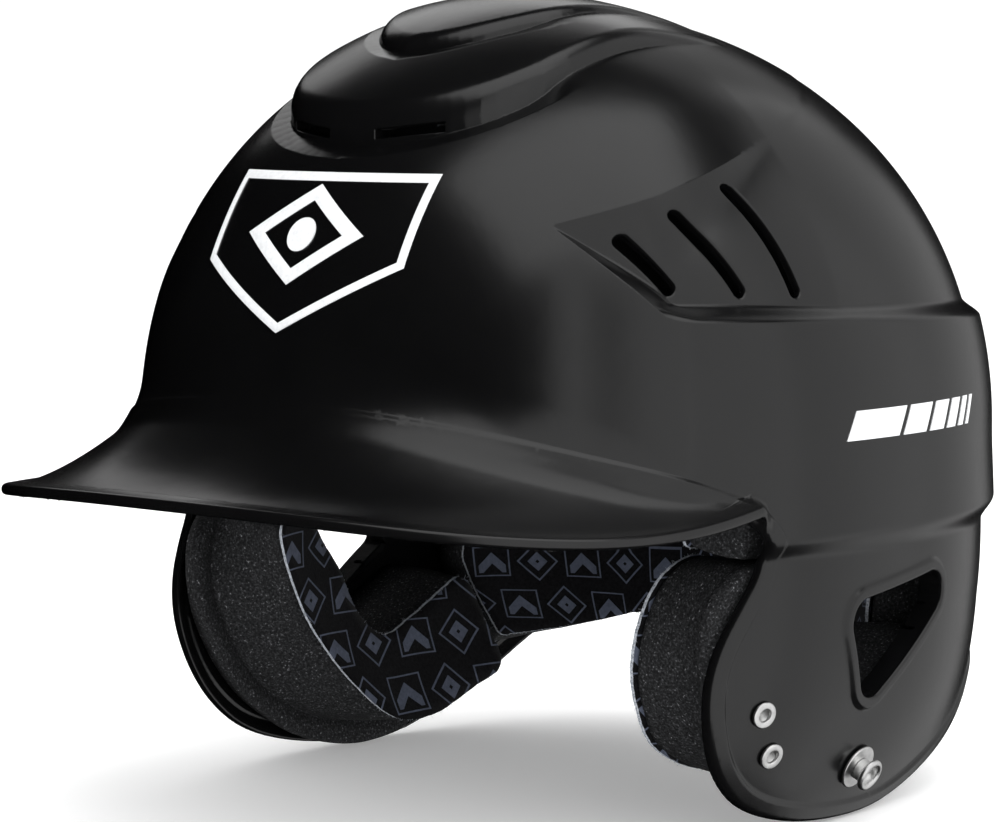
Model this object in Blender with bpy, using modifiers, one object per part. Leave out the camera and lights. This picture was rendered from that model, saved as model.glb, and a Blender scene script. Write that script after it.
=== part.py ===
"""Baseball batting helmet with two ear flaps: a moulded shell with its pads, facings, inserts, snaps and decals.

Units are metres. +X is the wearer's left, -Y the front and +Z up. Shapes are worked out in the crown's
frame, whose origin is the middle of the girth section, and one empty stands that frame on the ground.
"""

import math

import bmesh
import bpy
from mathutils import Matrix, Vector

# Crown: a superellipsoid over the girth section, and a wall under it
HALF_WIDTH = 0.106
FRONT_REACH = 0.110
BACK_REACH = 0.126
CROWN_HEIGHT = 0.113
PLAN_POWER = 2.2
RISE_POWER = 2.05
WALL_FLARE = 0.055
WALL_TUCK = 0.235
WALL_UNIT = 0.100
WALL_THICKNESS = 0.003
WALL_SEGMENTS = 52

# The lower band stands proud of the crown between a ledge and a soft step
BAND_PROUD = 0.0035
LEDGE_TOP = 0.034
LEDGE_FOOT = 0.031
STEP_TOP = -0.019
STEP_FOOT = -0.026
BAND_START_ANGLE = math.radians(45)
BAND_FULL_ANGLE = math.radians(62)

# Rings of the shell's mesh: rises in degrees on the crown, then heights
CROWN_RISES = (90, 80, 70, 60, 50, 40, 30)
CROWN_LAST_LEVEL = 0.044
BAND_LEVELS = (0.016, -0.002)
WALL_LEVELS = (-0.040, -0.054, -0.068, -0.080, -0.091, -0.102, -0.108)

# The frame stands on the lowest points of the flaps, with its origin in the middle of the length
STAND_HEIGHT = 0.0990
MIDDLE_SHIFT = 0.0098

# Side outline of the opening under the brim, round the flaps and across the nape, as (y, z)
OPENING_OUTLINE = [
    (-0.112, 0.009),
    (-0.085, 0.000),
    (-0.060, -0.008),
    (-0.046, -0.014),
    (-0.0395, -0.0185),
    (-0.0385, -0.0235),
    (-0.0400, -0.0290),
    (-0.0445, -0.0360),
    (-0.0495, -0.0450),
    (-0.0515, -0.0540),
    (-0.0505, -0.0630),
    (-0.0470, -0.0730),
    (-0.0410, -0.0820),
    (-0.0310, -0.0900),
    (-0.0150, -0.0955),
    (0.0050, -0.0985),
    (0.0280, -0.0990),
    (0.0420, -0.0955),
    (0.0560, -0.0900),
    (0.0700, -0.0835),
    (0.0800, -0.0765),
    (0.0880, -0.0705),
    (0.1000, -0.0670),
    (0.1180, -0.0655),
    (0.1350, -0.0650),
]
OPENING_FAR = 0.170
OPENING_NAPE_Z = -0.065
CUT_FAR = 0.200

# Brim: from a line on the forehead out to a flatter edge
BRIM_HALF_WIDTH = 0.108
BRIM_START_Y = -0.0455
BRIM_REACH = 0.104
BRIM_POWER = 2.6
BRIM_SIDE_Z = -0.0107
BRIM_DIP = -0.017
BRIM_TIP_RISE = 0.0197
BRIM_ROOT_ANGLE = math.radians(66)
BRIM_ROOT_LOW = -0.004
BRIM_ROOT_RISE = 0.026
BRIM_HOLLOW = 1.6
BRIM_COLUMNS = 26
BRIM_ROWS = 5

# Ear holes, as corners (y, z) with a round of this radius
EAR_HOLE = [(-0.0085, -0.0385), (0.0530, -0.0310), (0.0035, -0.0675)]
EAR_HOLE_ROUND = 0.0060

# Vents: slots from (angle, rise) to (angle, rise), in degrees, on each side
SIDE_SLOTS = [
    ((52.7, 28.8), (59.5, 22.5)),
    ((62.4, 32.1), (71.1, 21.8)),
    ((73.8, 36.0), (80.8, 21.3)),
]
REAR_SLOTS = [
    ((138.0, 33.0), (143.0, 21.0)),
    ((150.0, 35.0), (153.5, 21.0)),
    ((162.0, 36.0), (164.0, 21.0)),
]
SLOT_WIDTH = 0.0034
SLOT_CUT_DEPTH = 0.020
SLOT_END_ROUND = 0.48

# Crown scoops: raised tiers on the crown, each as plan outline (x, y) of its left half, front to back
LOW_TIER = [(0.0, -0.079), (0.012, -0.078), (0.026, -0.073), (0.038, -0.062), (0.044, -0.045), (0.046, 0.045)]
LOW_TIER_HEIGHT = 0.0042
HIGH_TIER = [(0.0, -0.058), (0.010, -0.0555), (0.020, -0.047), (0.027, -0.035), (0.031, -0.017), (0.032, 0.045)]
HIGH_TIER_HEIGHT = 0.0062
TIER_FADE_START = -0.035
TIER_FADE_END = 0.045
TIER_LEAST = 0.0002
TIER_ROOT = 0.0015
TIER_SEGMENTS = 36
TIER_LOW_LEVELS = (0.020, 0.010)
# Intake openings as (inner x, outer x, front y, back y, low z, high z) of the left one
LOW_INTAKE = (0.008, 0.026, -0.090, -0.052, 0.0825, 0.0862)
HIGH_INTAKE = (0.013, 0.033, -0.066, -0.022, 0.1003, 0.1036)

# Pads: gap to the wall, facing skin, and the gap between foam and facing
PAD_GAP = 0.0030
PAD_START = WALL_THICKNESS + PAD_GAP
FACING_THICKNESS = 0.0010
SEAM_GAP = 0.0003
EAR_PAD_THICKNESS = 0.028
BAND_PAD_THICKNESS = 0.019
CROWN_PAD_THICKNESS = 0.014
CROWN_PAD_RADIUS = 0.048
CROWN_PAD_RINGS = 4
CROWN_PAD_SEGMENTS = 24
# Spans of the band pads as (from, to) angles in degrees and (low, high) z
BROW_SPAN = ((-54, 54), (0.014, 0.050))
SIDE_SPAN = ((70, 110), (-0.0250, 0.0300))
REAR_SPAN = ((104, 256), (-0.0880, 0.0120))
EAR_SPAN = ((60, 128), (-0.1040, -0.0140))
# Ear pad outline (y, z): a U round the ear that is open at the top
EAR_PAD_OUTLINE = [
    (-0.0340, -0.0275),
    (-0.0395, -0.0400),
    (-0.0405, -0.0550),
    (-0.0340, -0.0700),
    (-0.0240, -0.0810),
    (-0.0100, -0.0885),
    (0.0100, -0.0920),
    (0.0300, -0.0895),
    (0.0440, -0.0840),
    (0.0520, -0.0790),
    (0.0440, -0.0480),
    (0.0400, -0.0455),
    (0.0280, -0.0550),
    (0.0060, -0.0675),
    (-0.0010, -0.0640),
    (-0.0070, -0.0520),
    (-0.0140, -0.0390),
    (-0.0190, -0.0275),
]
# Rear pad outline (y, z): from the back end of one ear pad round the nape to the other's
REAR_PAD_OUTLINE = [
    (0.0460, -0.0455),
    (0.0540, -0.0790),
    (0.0640, -0.0765),
    (0.0740, -0.0735),
    (0.0860, -0.0690),
    (0.1000, -0.0650),
    (0.1400, -0.0630),
    (0.1400, 0.0100),
    (0.0620, 0.0100),
    (0.0560, -0.0250),
    (0.0500, -0.0400),
]

# Hardware on each flap, at (y, z)
INSERT_PLACES = {"upper": (-0.034, -0.064), "lower": (-0.028, -0.0755)}
SNAP_PLACE = (0.010, -0.0835)
INSERT_HOLE_RADIUS = 0.0028
SNAP_HOLE_RADIUS = 0.0018
HOLE_CUT_LENGTH = 0.012

# Decals
DECAL_GAP = 0.0003
DECAL_THICKNESS = 0.0006
BADGE_HALF_WIDTH = 0.034
BADGE_TOP = 0.071
BADGE_SHOULDER = 0.048
BADGE_POINT = 0.031
BADGE_CUT_DEPTH = 0.12
BADGE_SPAN = ((-28, 28), (0.024, 0.080))
SIDE_DECAL_SPAN = ((76, 124), (-0.002, 0.018))
SIDE_DECAL_OUTLINE = [(-0.014, 0.003), (0.050, 0.003), (0.055, 0.012), (-0.009, 0.012)]

# Fineness and tolerances
ROUND_STEPS = 16
WELD = 0.00001
SHARP_ANGLE = math.radians(40)


def back_reach(z):
    """Reach of the back, which keeps its size where the sides tuck in."""
    return BACK_REACH / min(section_scale(z), 1.0) if z < 0 else BACK_REACH


def signed_power(value, power):
    return math.copysign(abs(value) ** power, value)


def smooth_step(low, high, value):
    t = min(max((value - low) / (high - low), 0.0), 1.0)
    return t * t * (3 - 2 * t)


def section_scale(z):
    """Size of the plan section at height z, with the girth section as 1."""
    if z >= 0:
        return max(1 - (z / CROWN_HEIGHT) ** RISE_POWER, 0.0) ** (1 / RISE_POWER)
    depth = -z / WALL_UNIT
    return 1 + WALL_FLARE * depth - WALL_TUCK * depth**3


def band_offset(angle, z):
    """How far the lower band stands out, at an angle from the front in plan."""
    rise = smooth_step(LEDGE_TOP, LEDGE_FOOT, z) * smooth_step(STEP_FOOT, STEP_TOP, z)
    return BAND_PROUD * rise * smooth_step(BAND_START_ANGLE, BAND_FULL_ANGLE, abs(angle))


def shell_point(angle, z, offset=0.0):
    """Point of the outer surface, moved out by offset. The angle is 0 in front and positive towards +X."""
    scale = section_scale(z)
    out = offset + band_offset(angle, z)
    reach = FRONT_REACH if math.cos(angle) > 0 else back_reach(z)
    x = (HALF_WIDTH + out) * scale * signed_power(math.sin(angle), 2 / PLAN_POWER)
    y = -(reach + out) * scale * signed_power(math.cos(angle), 2 / PLAN_POWER)
    height = z * (CROWN_HEIGHT + offset) / CROWN_HEIGHT if z > 0 else z
    return Vector((x, y, height))


def side_point(y, z):
    """Point of the left wall at (y, z)."""
    reach = (FRONT_REACH if y < 0 else back_reach(z)) * section_scale(z)
    cosine = -signed_power(y / reach, PLAN_POWER / 2)
    return shell_point(math.acos(cosine), z)


def side_normal(y, z):
    step = 0.001
    across = side_point(y + step, z) - side_point(y - step, z)
    up = side_point(y, z + step) - side_point(y, z - step)
    return across.cross(up).normalized()


def rise_to_z(rise_degrees):
    return CROWN_HEIGHT * math.sin(math.radians(rise_degrees)) ** (2 / RISE_POWER)


def new_material(name, colour, roughness, metallic=0.0):
    material = bpy.data.materials.new(name)
    material.use_nodes = True
    shader = material.node_tree.nodes["Principled BSDF"]
    shader.inputs["Base Color"].default_value = (*colour, 1.0)
    shader.inputs["Roughness"].default_value = roughness
    shader.inputs["Metallic"].default_value = metallic
    return material


def add_object(name, mesh, collection, material=None):
    obj = bpy.data.objects.new(name, mesh)
    collection.objects.link(obj)
    obj.parent = stand
    if material:
        mesh.materials.append(material)
    return obj


def object_from_bmesh(name, mesh_data, collection, material=None):
    mesh = bpy.data.meshes.new(name)
    mesh_data.to_mesh(mesh)
    mesh_data.free()
    return add_object(name, mesh, collection, material)


def shade_round(obj):
    obj.data.shade_smooth()
    obj.data.set_sharp_from_angle(angle=SHARP_ANGLE)


def add_boolean(obj, other, operation):
    modifier = obj.modifiers.new(operation.title(), "BOOLEAN")
    modifier.operation = operation
    modifier.solver = "EXACT"
    modifier.object = other


def add_solidify(obj, thickness, depth=0.0):
    """Gives a sheet a thickness, on its inner side and starting at a depth below it."""
    modifier = obj.modifiers.new("Solidify", "SOLIDIFY")
    modifier.thickness = thickness
    modifier.offset = -1 - 2 * depth / thickness
    modifier.use_even_offset = True


def as_cutter(obj):
    obj.hide_render = True
    obj.display_type = "WIRE"
    return obj


def cutter(name, mesh_data):
    return as_cutter(object_from_bmesh(name, mesh_data, cutters))


def mirrored_cutter(name, mesh_data):
    """A cutter on the left with its mirror image on the right."""
    obj = cutter(name, mesh_data)
    mirror = obj.modifiers.new("Mirror", "MIRROR")
    mirror.merge_threshold = WELD
    return obj


def outline_prism(name, outline, half_depth, axis):
    """A closed prism over a flat outline, extruded both ways along X (outline y, z), Z (x, y) or Y (x, z)."""
    turns = {"X": Matrix(((0, 0, 1), (1, 0, 0), (0, 1, 0))), "Z": Matrix.Identity(3)}
    turns["Y"] = Matrix(((1, 0, 0), (0, 0, -1), (0, 1, 0)))
    curve = bpy.data.curves.new(name, "CURVE")
    curve.dimensions = "2D"
    curve.fill_mode = "BOTH"
    curve.extrude = half_depth
    spline = curve.splines.new("POLY")
    spline.points.add(len(outline) - 1)
    for point, place in zip(spline.points, outline):
        point.co = (*place, 0, 1)
    spline.use_cyclic_u = True
    holder = bpy.data.objects.new(name, curve)
    cutters.objects.link(holder)
    bpy.context.view_layer.update()
    flat = bpy.data.meshes.new_from_object(holder.evaluated_get(bpy.context.evaluated_depsgraph_get()))
    bpy.data.objects.remove(holder)
    bpy.data.curves.remove(curve)
    prism = bmesh.new()
    prism.from_mesh(flat)
    bpy.data.meshes.remove(flat)
    bmesh.ops.remove_doubles(prism, verts=prism.verts, dist=WELD)
    bmesh.ops.transform(prism, matrix=turns[axis].to_4x4(), verts=prism.verts)
    bmesh.ops.recalc_face_normals(prism, faces=prism.faces)
    return cutter(name, prism)


def rounded_outline(corners, radius, steps=5):
    """The outline of a polygon with its corners rounded by arcs."""
    outline = []
    count = len(corners)
    for i in range(count):
        here = Vector(corners[i])
        before = (Vector(corners[i - 1]) - here).normalized()
        after = (Vector(corners[(i + 1) % count]) - here).normalized()
        half = before.angle(after) / 2
        centre = here + (before + after).normalized() * (radius / math.sin(half))
        first = here + before * (radius / math.tan(half)) - centre
        last = here + after * (radius / math.tan(half)) - centre
        for k in range(steps + 1):
            arm = first.lerp(last, k / steps).normalized() * radius
            outline.append(tuple(centre + arm))
    return outline


def grid_surface(name, columns, rows, place, collection, material=None):
    """An open sheet of columns x rows faces, placed by place(u, v) with u and v from 0 to 1."""
    sheet = bmesh.new()
    bmesh.ops.create_grid(sheet, x_segments=columns, y_segments=rows, size=0.5)
    for vert in sheet.verts:
        vert.co = place(vert.co.x + 0.5, vert.co.y + 0.5)
    return object_from_bmesh(name, sheet, collection, material)


def turned(name, profile, matrix, collection, material=None):
    """A round piece turned from (radius, height) points, given down its outer side and up its inner side."""
    wire = bmesh.new()
    points = [wire.verts.new((radius, 0, height)) for radius, height in profile]
    for first, second in zip(points, points[1:]):
        wire.edges.new((first, second))
    if profile[-1][0] > 0 or profile[0][0] > 0:
        wire.edges.new((points[-1], points[0]))
    obj = object_from_bmesh(name, wire, collection, material)
    screw = obj.modifiers.new("Screw", "SCREW")
    screw.axis = "Z"
    screw.steps = ROUND_STEPS
    screw.render_steps = ROUND_STEPS
    screw.use_merge_vertices = True
    screw.merge_threshold = WELD
    obj.matrix_local = matrix
    return obj


def crown_levels():
    """Heights of the shell's rings, from the top down, close together at the ledge and the soft step."""
    crown = [rise_to_z(rise) for rise in CROWN_RISES] + [CROWN_LAST_LEVEL]
    band = [LEDGE_TOP, LEDGE_FOOT, *BAND_LEVELS, STEP_TOP, STEP_FOOT]
    return crown + band + list(WALL_LEVELS)


def wrapped_surface(name, levels, segments, offset_at, collection, material=None):
    """The shell's outer surface as a sphere wrapped onto it, open at the bottom."""
    ball = bmesh.new()
    rings = len(levels)
    bmesh.ops.create_uvsphere(ball, u_segments=segments, v_segments=rings, radius=1)
    bottom = [vert for vert in ball.verts if vert.co.z < -1 + 0.5 * (1 - math.cos(math.pi / rings))]
    bmesh.ops.delete(ball, geom=bottom, context="VERTS")
    for vert in ball.verts:
        ring = round(math.acos(max(-1.0, min(1.0, vert.co.z))) / math.pi * rings)
        angle = math.atan2(vert.co.x, -vert.co.y)
        place = shell_point(angle, levels[ring])
        vert.co = shell_point(angle, levels[ring], offset_at(place))
    return object_from_bmesh(name, ball, collection, material)


def brim_edge(turn):
    """Point of the brim's edge: turn is -90 degrees at the right end, 0 at the tip, 90 at the left end."""
    out = signed_power(math.cos(turn), 2 / BRIM_POWER)
    side = signed_power(math.sin(turn), 2 / BRIM_POWER)
    z = BRIM_SIDE_Z + BRIM_DIP * out + BRIM_TIP_RISE * out * out
    return Vector((BRIM_HALF_WIDTH * side, BRIM_START_Y - BRIM_REACH * out, z))


def brim_point(u, v):
    """Upper surface of the brim: u runs across it, v from inside the wall out to the edge."""
    turn = (u - 0.5) * math.pi
    angle = turn / (math.pi / 2) * BRIM_ROOT_ANGLE
    root_z = BRIM_ROOT_LOW + BRIM_ROOT_RISE * math.cos(angle * 1.3) ** 2
    root = shell_point(angle, root_z, -WALL_THICKNESS / 2)
    edge = brim_edge(turn)
    place = root.lerp(edge, v)
    place.z = edge.z + (root.z - edge.z) * (1 - v) ** BRIM_HOLLOW
    return place


def mirrored_outline(half):
    return half + [(-x, y) for x, y in reversed(half) if x > 0]


def crown_tier(name, half_outline, height):
    """A raised tier: the crown's skin made thicker inside a plan outline, fading to nothing at the back."""

    def offset_at(place):
        return height * (1 - smooth_step(TIER_FADE_START, TIER_FADE_END, place.y)) + TIER_LEAST

    levels = [rise_to_z(rise) for rise in CROWN_RISES] + list(TIER_LOW_LEVELS)
    tier = as_cutter(wrapped_surface(name, levels, TIER_SEGMENTS, offset_at, cutters))
    thickness = height + TIER_LEAST + TIER_ROOT
    add_solidify(tier, thickness)
    group = tier.vertex_groups.new(name="thickness")
    for vert in tier.data.vertices:
        group.add([vert.index], (offset_at(vert.co) + TIER_ROOT) / thickness, "REPLACE")
    tier.modifiers["Solidify"].vertex_group = group.name
    prism = outline_prism(name + "_outline", mirrored_outline(half_outline), CUT_FAR, "Z")
    add_boolean(tier, prism, "INTERSECT")
    return tier


def intake_cutter(name, extent):
    inner, outer, front, back, low, high = extent
    box = bmesh.new()
    bmesh.ops.create_cube(box, size=1)
    for vert in box.verts:
        vert.co.x = inner + (vert.co.x + 0.5) * (outer - inner)
        vert.co.y = front + (vert.co.y + 0.5) * (back - front)
        vert.co.z = low + (vert.co.z + 0.5) * (high - low)
    return mirrored_cutter(name, box)


def slot_cutter(name, ends):
    """A slot with round ends, cut along the wall's normal on both sides of the helmet."""
    first, last = (shell_point(math.radians(angle), rise_to_z(rise)) for angle, rise in ends)
    along = (last - first).normalized()
    middle = (first + last) / 2
    angle = math.radians((ends[0][0] + ends[1][0]) / 2)
    z = rise_to_z((ends[0][1] + ends[1][1]) / 2)
    outwards = shell_point(angle, z, 0.001) - shell_point(angle, z)
    across = outwards.cross(along).normalized()
    normal = along.cross(across).normalized()
    box = bmesh.new()
    bmesh.ops.create_cube(box, size=1)
    length = (last - first).length + SLOT_WIDTH
    bmesh.ops.scale(box, vec=(length, SLOT_WIDTH, SLOT_CUT_DEPTH), verts=box.verts)
    upright = [edge for edge in box.edges if abs(edge.verts[0].co.z - edge.verts[1].co.z) > SLOT_WIDTH]
    bmesh.ops.bevel(box, geom=upright, offset=SLOT_WIDTH * SLOT_END_ROUND, segments=2, profile=0.5, affect="EDGES")
    turn = Matrix((along, across, normal)).transposed().to_4x4()
    bmesh.ops.transform(box, matrix=Matrix.Translation(middle) @ turn, verts=box.verts)
    bmesh.ops.recalc_face_normals(box, faces=box.faces)
    return mirrored_cutter(name, box)


def flap_matrix(y, z, side):
    """Frame of a piece of hardware on a flap, with its Z along the wall's outward normal."""
    place = side_point(y, z)
    normal = side_normal(y, z)
    place.x *= side
    normal.x *= side
    return Matrix.Translation(place) @ normal.to_track_quat("Z", "Y").to_matrix().to_4x4()


def hole_cutter(name, matrix, radius):
    half = HOLE_CUT_LENGTH / 2
    return as_cutter(turned(name, [(0, half), (radius, half), (radius, -half), (0, -half)], matrix, cutters))


def make_shell():
    shell = wrapped_surface("shell", crown_levels(), WALL_SEGMENTS, lambda place: 0.0, helmet, shell_plastic)
    add_solidify(shell, WALL_THICKNESS)
    outside = [(OPENING_FAR, OPENING_NAPE_Z), (OPENING_FAR, -CUT_FAR), (-OPENING_FAR, -CUT_FAR)]
    outside.append((-OPENING_FAR, OPENING_OUTLINE[0][1]))
    opening = outline_prism("opening_cut", OPENING_OUTLINE + outside, CUT_FAR, "X")
    add_boolean(shell, opening, "DIFFERENCE")
    brim = as_cutter(grid_surface("brim_plate", BRIM_COLUMNS, BRIM_ROWS, brim_point, cutters))
    add_solidify(brim, WALL_THICKNESS)
    add_boolean(shell, brim, "UNION")
    add_boolean(shell, crown_tier("low_tier", LOW_TIER, LOW_TIER_HEIGHT), "UNION")
    add_boolean(shell, crown_tier("high_tier", HIGH_TIER, HIGH_TIER_HEIGHT), "UNION")
    add_boolean(shell, intake_cutter("low_intake_cut", LOW_INTAKE), "DIFFERENCE")
    add_boolean(shell, intake_cutter("high_intake_cut", HIGH_INTAKE), "DIFFERENCE")
    ear = outline_prism("ear_hole_cut", rounded_outline(EAR_HOLE, EAR_HOLE_ROUND), CUT_FAR, "X")
    add_boolean(shell, ear, "DIFFERENCE")
    for number, ends in enumerate(SIDE_SLOTS + REAR_SLOTS, 1):
        add_boolean(shell, slot_cutter(f"slot_cut_{number}", ends), "DIFFERENCE")
    for side_name, side in SIDES:
        for place_name, (y, z) in INSERT_PLACES.items():
            name = f"{side_name}_{place_name}_insert_hole"
            add_boolean(shell, hole_cutter(name, flap_matrix(y, z, side), INSERT_HOLE_RADIUS), "DIFFERENCE")
        matrix = flap_matrix(*SNAP_PLACE, side)
        add_boolean(shell, hole_cutter(f"{side_name}_snap_hole", matrix, SNAP_HOLE_RADIUS), "DIFFERENCE")
    shade_round(shell)


def wall_sheet(name, span, side, out, collection, material, grid):
    """A sheet that follows the wall over a span of angles and heights, moved out by out; side -1 mirrors it."""
    (start, end), (low, high) = span

    def place(u, v):
        turn = u if side > 0 else 1 - u
        angle = math.radians(start + turn * (end - start)) * side
        return shell_point(angle, low + v * (high - low), out)

    return grid_surface(name, *grid, place, collection, material)


def make_padded(name, span, side, thickness, grid, outline=None):
    """Foam inside the wall and the cloth facing on it, both cut to an outline if there is one."""
    layers = ((name + "_pad", 0.0, thickness, foam),
              (name + "_facing", thickness + SEAM_GAP, FACING_THICKNESS, facing_cloth))
    for layer, depth, layer_thickness, material in layers:
        sheet = wall_sheet(layer, span, side, -PAD_START, helmet, material, grid)
        add_solidify(sheet, layer_thickness, depth)
        if outline:
            add_boolean(sheet, outline, "INTERSECT")
        shade_round(sheet)


def make_band_pads():
    make_padded("brow", BROW_SPAN, 1, BAND_PAD_THICKNESS, (12, 4))
    rear_outline = outline_prism("rear_pad_outline", REAR_PAD_OUTLINE, CUT_FAR, "X")
    make_padded("rear", REAR_SPAN, 1, BAND_PAD_THICKNESS, (22, 7), rear_outline)
    for side_name, side in SIDES:
        make_padded(side_name + "_side", SIDE_SPAN, side, BAND_PAD_THICKNESS, (7, 5))


def make_ear_pads():
    outline = outline_prism("ear_pad_outline", EAR_PAD_OUTLINE, CUT_FAR, "X")
    for side_name, side in SIDES:
        make_padded(side_name + "_ear", EAR_SPAN, side, EAR_PAD_THICKNESS, (10, 8), outline)


def make_crown_pad():
    """A round cap of foam under the top, with its facing."""
    steepest = math.degrees(math.acos(CROWN_PAD_RADIUS / HALF_WIDTH))
    rises = [90 - (90 - steepest) * k / CROWN_PAD_RINGS for k in range(CROWN_PAD_RINGS + 1)]
    levels = [rise_to_z(rise) for rise in rises]
    layers = (("crown_pad", 0.0, CROWN_PAD_THICKNESS, foam),
              ("crown_facing", CROWN_PAD_THICKNESS + SEAM_GAP, FACING_THICKNESS, facing_cloth))
    for name, depth, thickness, material in layers:
        cap = wrapped_surface(name, levels, CROWN_PAD_SEGMENTS, lambda place: -PAD_START, helmet, material)
        add_solidify(cap, thickness, depth)
        shade_round(cap)


def make_insert(name, matrix):
    """A threaded insert: a barrel through the wall under a thin flange, open right through."""
    profile = [(0.0018, 0.0010), (0.0034, 0.0010), (0.0034, 0.0003), (0.0025, 0.0003), (0.0025, -0.0036),
               (0.0018, -0.0036)]
    shade_round(turned(name, profile, matrix, helmet, nickel))


def make_snap(side_name, matrix):
    """A snap fastener: a flange on the wall, a stud with a ring head, and a rivet from inside."""
    flange = [(0.0024, 0.0014), (0.0052, 0.0014), (0.0062, 0.0008), (0.0062, 0.0004), (0.0024, 0.0004)]
    stud = [(0.0017, 0.0056), (0.0037, 0.0056), (0.0043, 0.0050), (0.0043, 0.0042), (0.0030, 0.0034),
            (0.0030, 0.0017), (0.0017, 0.0017)]
    rivet = [(0, 0.0040), (0.0014, 0.0040), (0.0014, -0.0037), (0.0036, -0.0037), (0.0033, -0.0045),
             (0, -0.0045)]
    shade_round(turned(side_name + "_snap_flange", flange, matrix, helmet, nickel))
    shade_round(turned(side_name + "_snap_stud", stud, matrix, helmet, nickel))
    shade_round(turned(side_name + "_snap_rivet", rivet, matrix, helmet, nickel))


def make_hardware():
    for side_name, side in SIDES:
        for place_name, (y, z) in INSERT_PLACES.items():
            make_insert(f"{side_name}_{place_name}_insert", flap_matrix(y, z, side))
        make_snap(side_name, flap_matrix(*SNAP_PLACE, side))


def make_decal(name, span, side, grid, outline):
    """A thin printed piece on the wall, cut to an outline."""
    decal = wall_sheet(name, span, side, DECAL_GAP + DECAL_THICKNESS, helmet, badge_print, grid)
    add_solidify(decal, DECAL_THICKNESS)
    add_boolean(decal, outline, "INTERSECT")
    shade_round(decal)


def make_decals():
    """A five-sided badge on the forehead and a slanted bar on each side."""
    badge = [(-BADGE_HALF_WIDTH, BADGE_TOP), (BADGE_HALF_WIDTH, BADGE_TOP), (BADGE_HALF_WIDTH, BADGE_SHOULDER),
             (0, BADGE_POINT), (-BADGE_HALF_WIDTH, BADGE_SHOULDER)]
    make_decal("front_badge", BADGE_SPAN, 1, (12, 10), outline_prism("badge_outline", badge, BADGE_CUT_DEPTH, "Y"))
    bar = outline_prism("side_decal_outline", SIDE_DECAL_OUTLINE, CUT_FAR, "X")
    for side_name, side in SIDES:
        make_decal(side_name + "_decal", SIDE_DECAL_SPAN, side, (10, 4), bar)


for old in list(bpy.data.objects):
    bpy.data.objects.remove(old)

SIDES = (("left", 1), ("right", -1))
helmet = bpy.data.collections.new("batting_helmet")
cutters = bpy.data.collections.new("cutters")
bpy.context.scene.collection.children.link(helmet)
bpy.context.scene.collection.children.link(cutters)
stand = bpy.data.objects.new("stand", None)
stand.location = (0, MIDDLE_SHIFT, STAND_HEIGHT)
helmet.objects.link(stand)

shell_plastic = new_material("shell_plastic", (0.012, 0.012, 0.013), 0.25)
foam = new_material("pad_foam", (0.045, 0.046, 0.048), 0.95)
facing_cloth = new_material("facing_cloth", (0.02, 0.02, 0.024), 0.9)
nickel = new_material("nickel", (0.72, 0.71, 0.69), 0.22, 1.0)
badge_print = new_material("badge_print", (0.75, 0.76, 0.77), 0.35)

make_shell()
make_band_pads()
make_crown_pad()
make_ear_pads()
make_hardware()
make_decals()
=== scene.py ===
"""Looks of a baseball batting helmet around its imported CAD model: a gloss black shell, foam pads with printed
facings, nickel fittings, a badge and side marks, on a pale floor in soft studio light.

Units are metres. Shapes are worked out in the crown's frame, whose origin is the middle of the girth section,
with +X to the wearer's left, -Y to the front and +Z up, and are moved to the model's frame at the end.
"""

import concurrent.futures
import math

import bmesh
import bpy
import numpy as np
from mathutils import Matrix, Vector, noise
from mathutils.geometry import delaunay_2d_cdt


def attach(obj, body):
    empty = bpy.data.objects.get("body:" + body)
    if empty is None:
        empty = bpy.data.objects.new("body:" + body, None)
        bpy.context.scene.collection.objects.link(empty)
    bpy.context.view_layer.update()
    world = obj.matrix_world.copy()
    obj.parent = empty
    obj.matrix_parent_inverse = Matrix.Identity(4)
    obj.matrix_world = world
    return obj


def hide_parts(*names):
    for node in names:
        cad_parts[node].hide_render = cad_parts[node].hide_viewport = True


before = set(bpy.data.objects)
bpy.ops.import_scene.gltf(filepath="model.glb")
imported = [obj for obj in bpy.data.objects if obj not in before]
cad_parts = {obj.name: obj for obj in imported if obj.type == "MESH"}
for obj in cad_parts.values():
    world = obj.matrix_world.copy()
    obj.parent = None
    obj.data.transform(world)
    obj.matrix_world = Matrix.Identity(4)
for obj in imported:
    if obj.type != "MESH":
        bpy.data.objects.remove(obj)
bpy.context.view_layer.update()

# The noise follows the clock unless it has a seed
NOISE_SEED = 3
noise.seed_set(NOISE_SEED)

# The crown's frame in the model's frame
CROWN_PLACE = np.array((0.0, 0.0098, 0.0990))

# Crown: a superellipsoid over the girth section, and a wall under it, as in the CAD model
HALF_WIDTH = 0.106
FRONT_REACH = 0.110
BACK_REACH = 0.126
CROWN_HEIGHT = 0.113
PLAN_POWER = 2.2
RISE_POWER = 2.05
WALL_FLARE = 0.0595
WALL_TUCK = 0.235
WALL_UNIT = 0.100
FLARE_EASE = 0.08
WALL = 0.003

# The lower band, proud of the crown between a ledge and a soft step; inside, the ledge lies lower by its lag
BAND_PROUD = 0.0036
LEDGE_AT = 0.0352
LEDGE_SLOPE = -0.037
LEDGE_TALL = 0.0046
LEDGE_LAG = 0.0022
STEP_TOP = -0.019
STEP_FOOT = -0.026
BAND_ANGLES = (math.radians(45), math.radians(62))

# Side recess, seen from the side: corners as (y, z)
RECESS_TIP = (-0.0734, 0.0586)
RECESS_END = (-0.0051, 0.0794)
RECESS_LOW = (-0.0614, 0.0375)
RECESS_DEPTH = 0.0032
RIDGE_SLOPE = 0.34
FRONT_SLOPE = 0.80
RIDGE_BLEND = 0.0006
FLOOR_BLEND = 0.0008
BAND_FADE_TOP = 0.080

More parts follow.
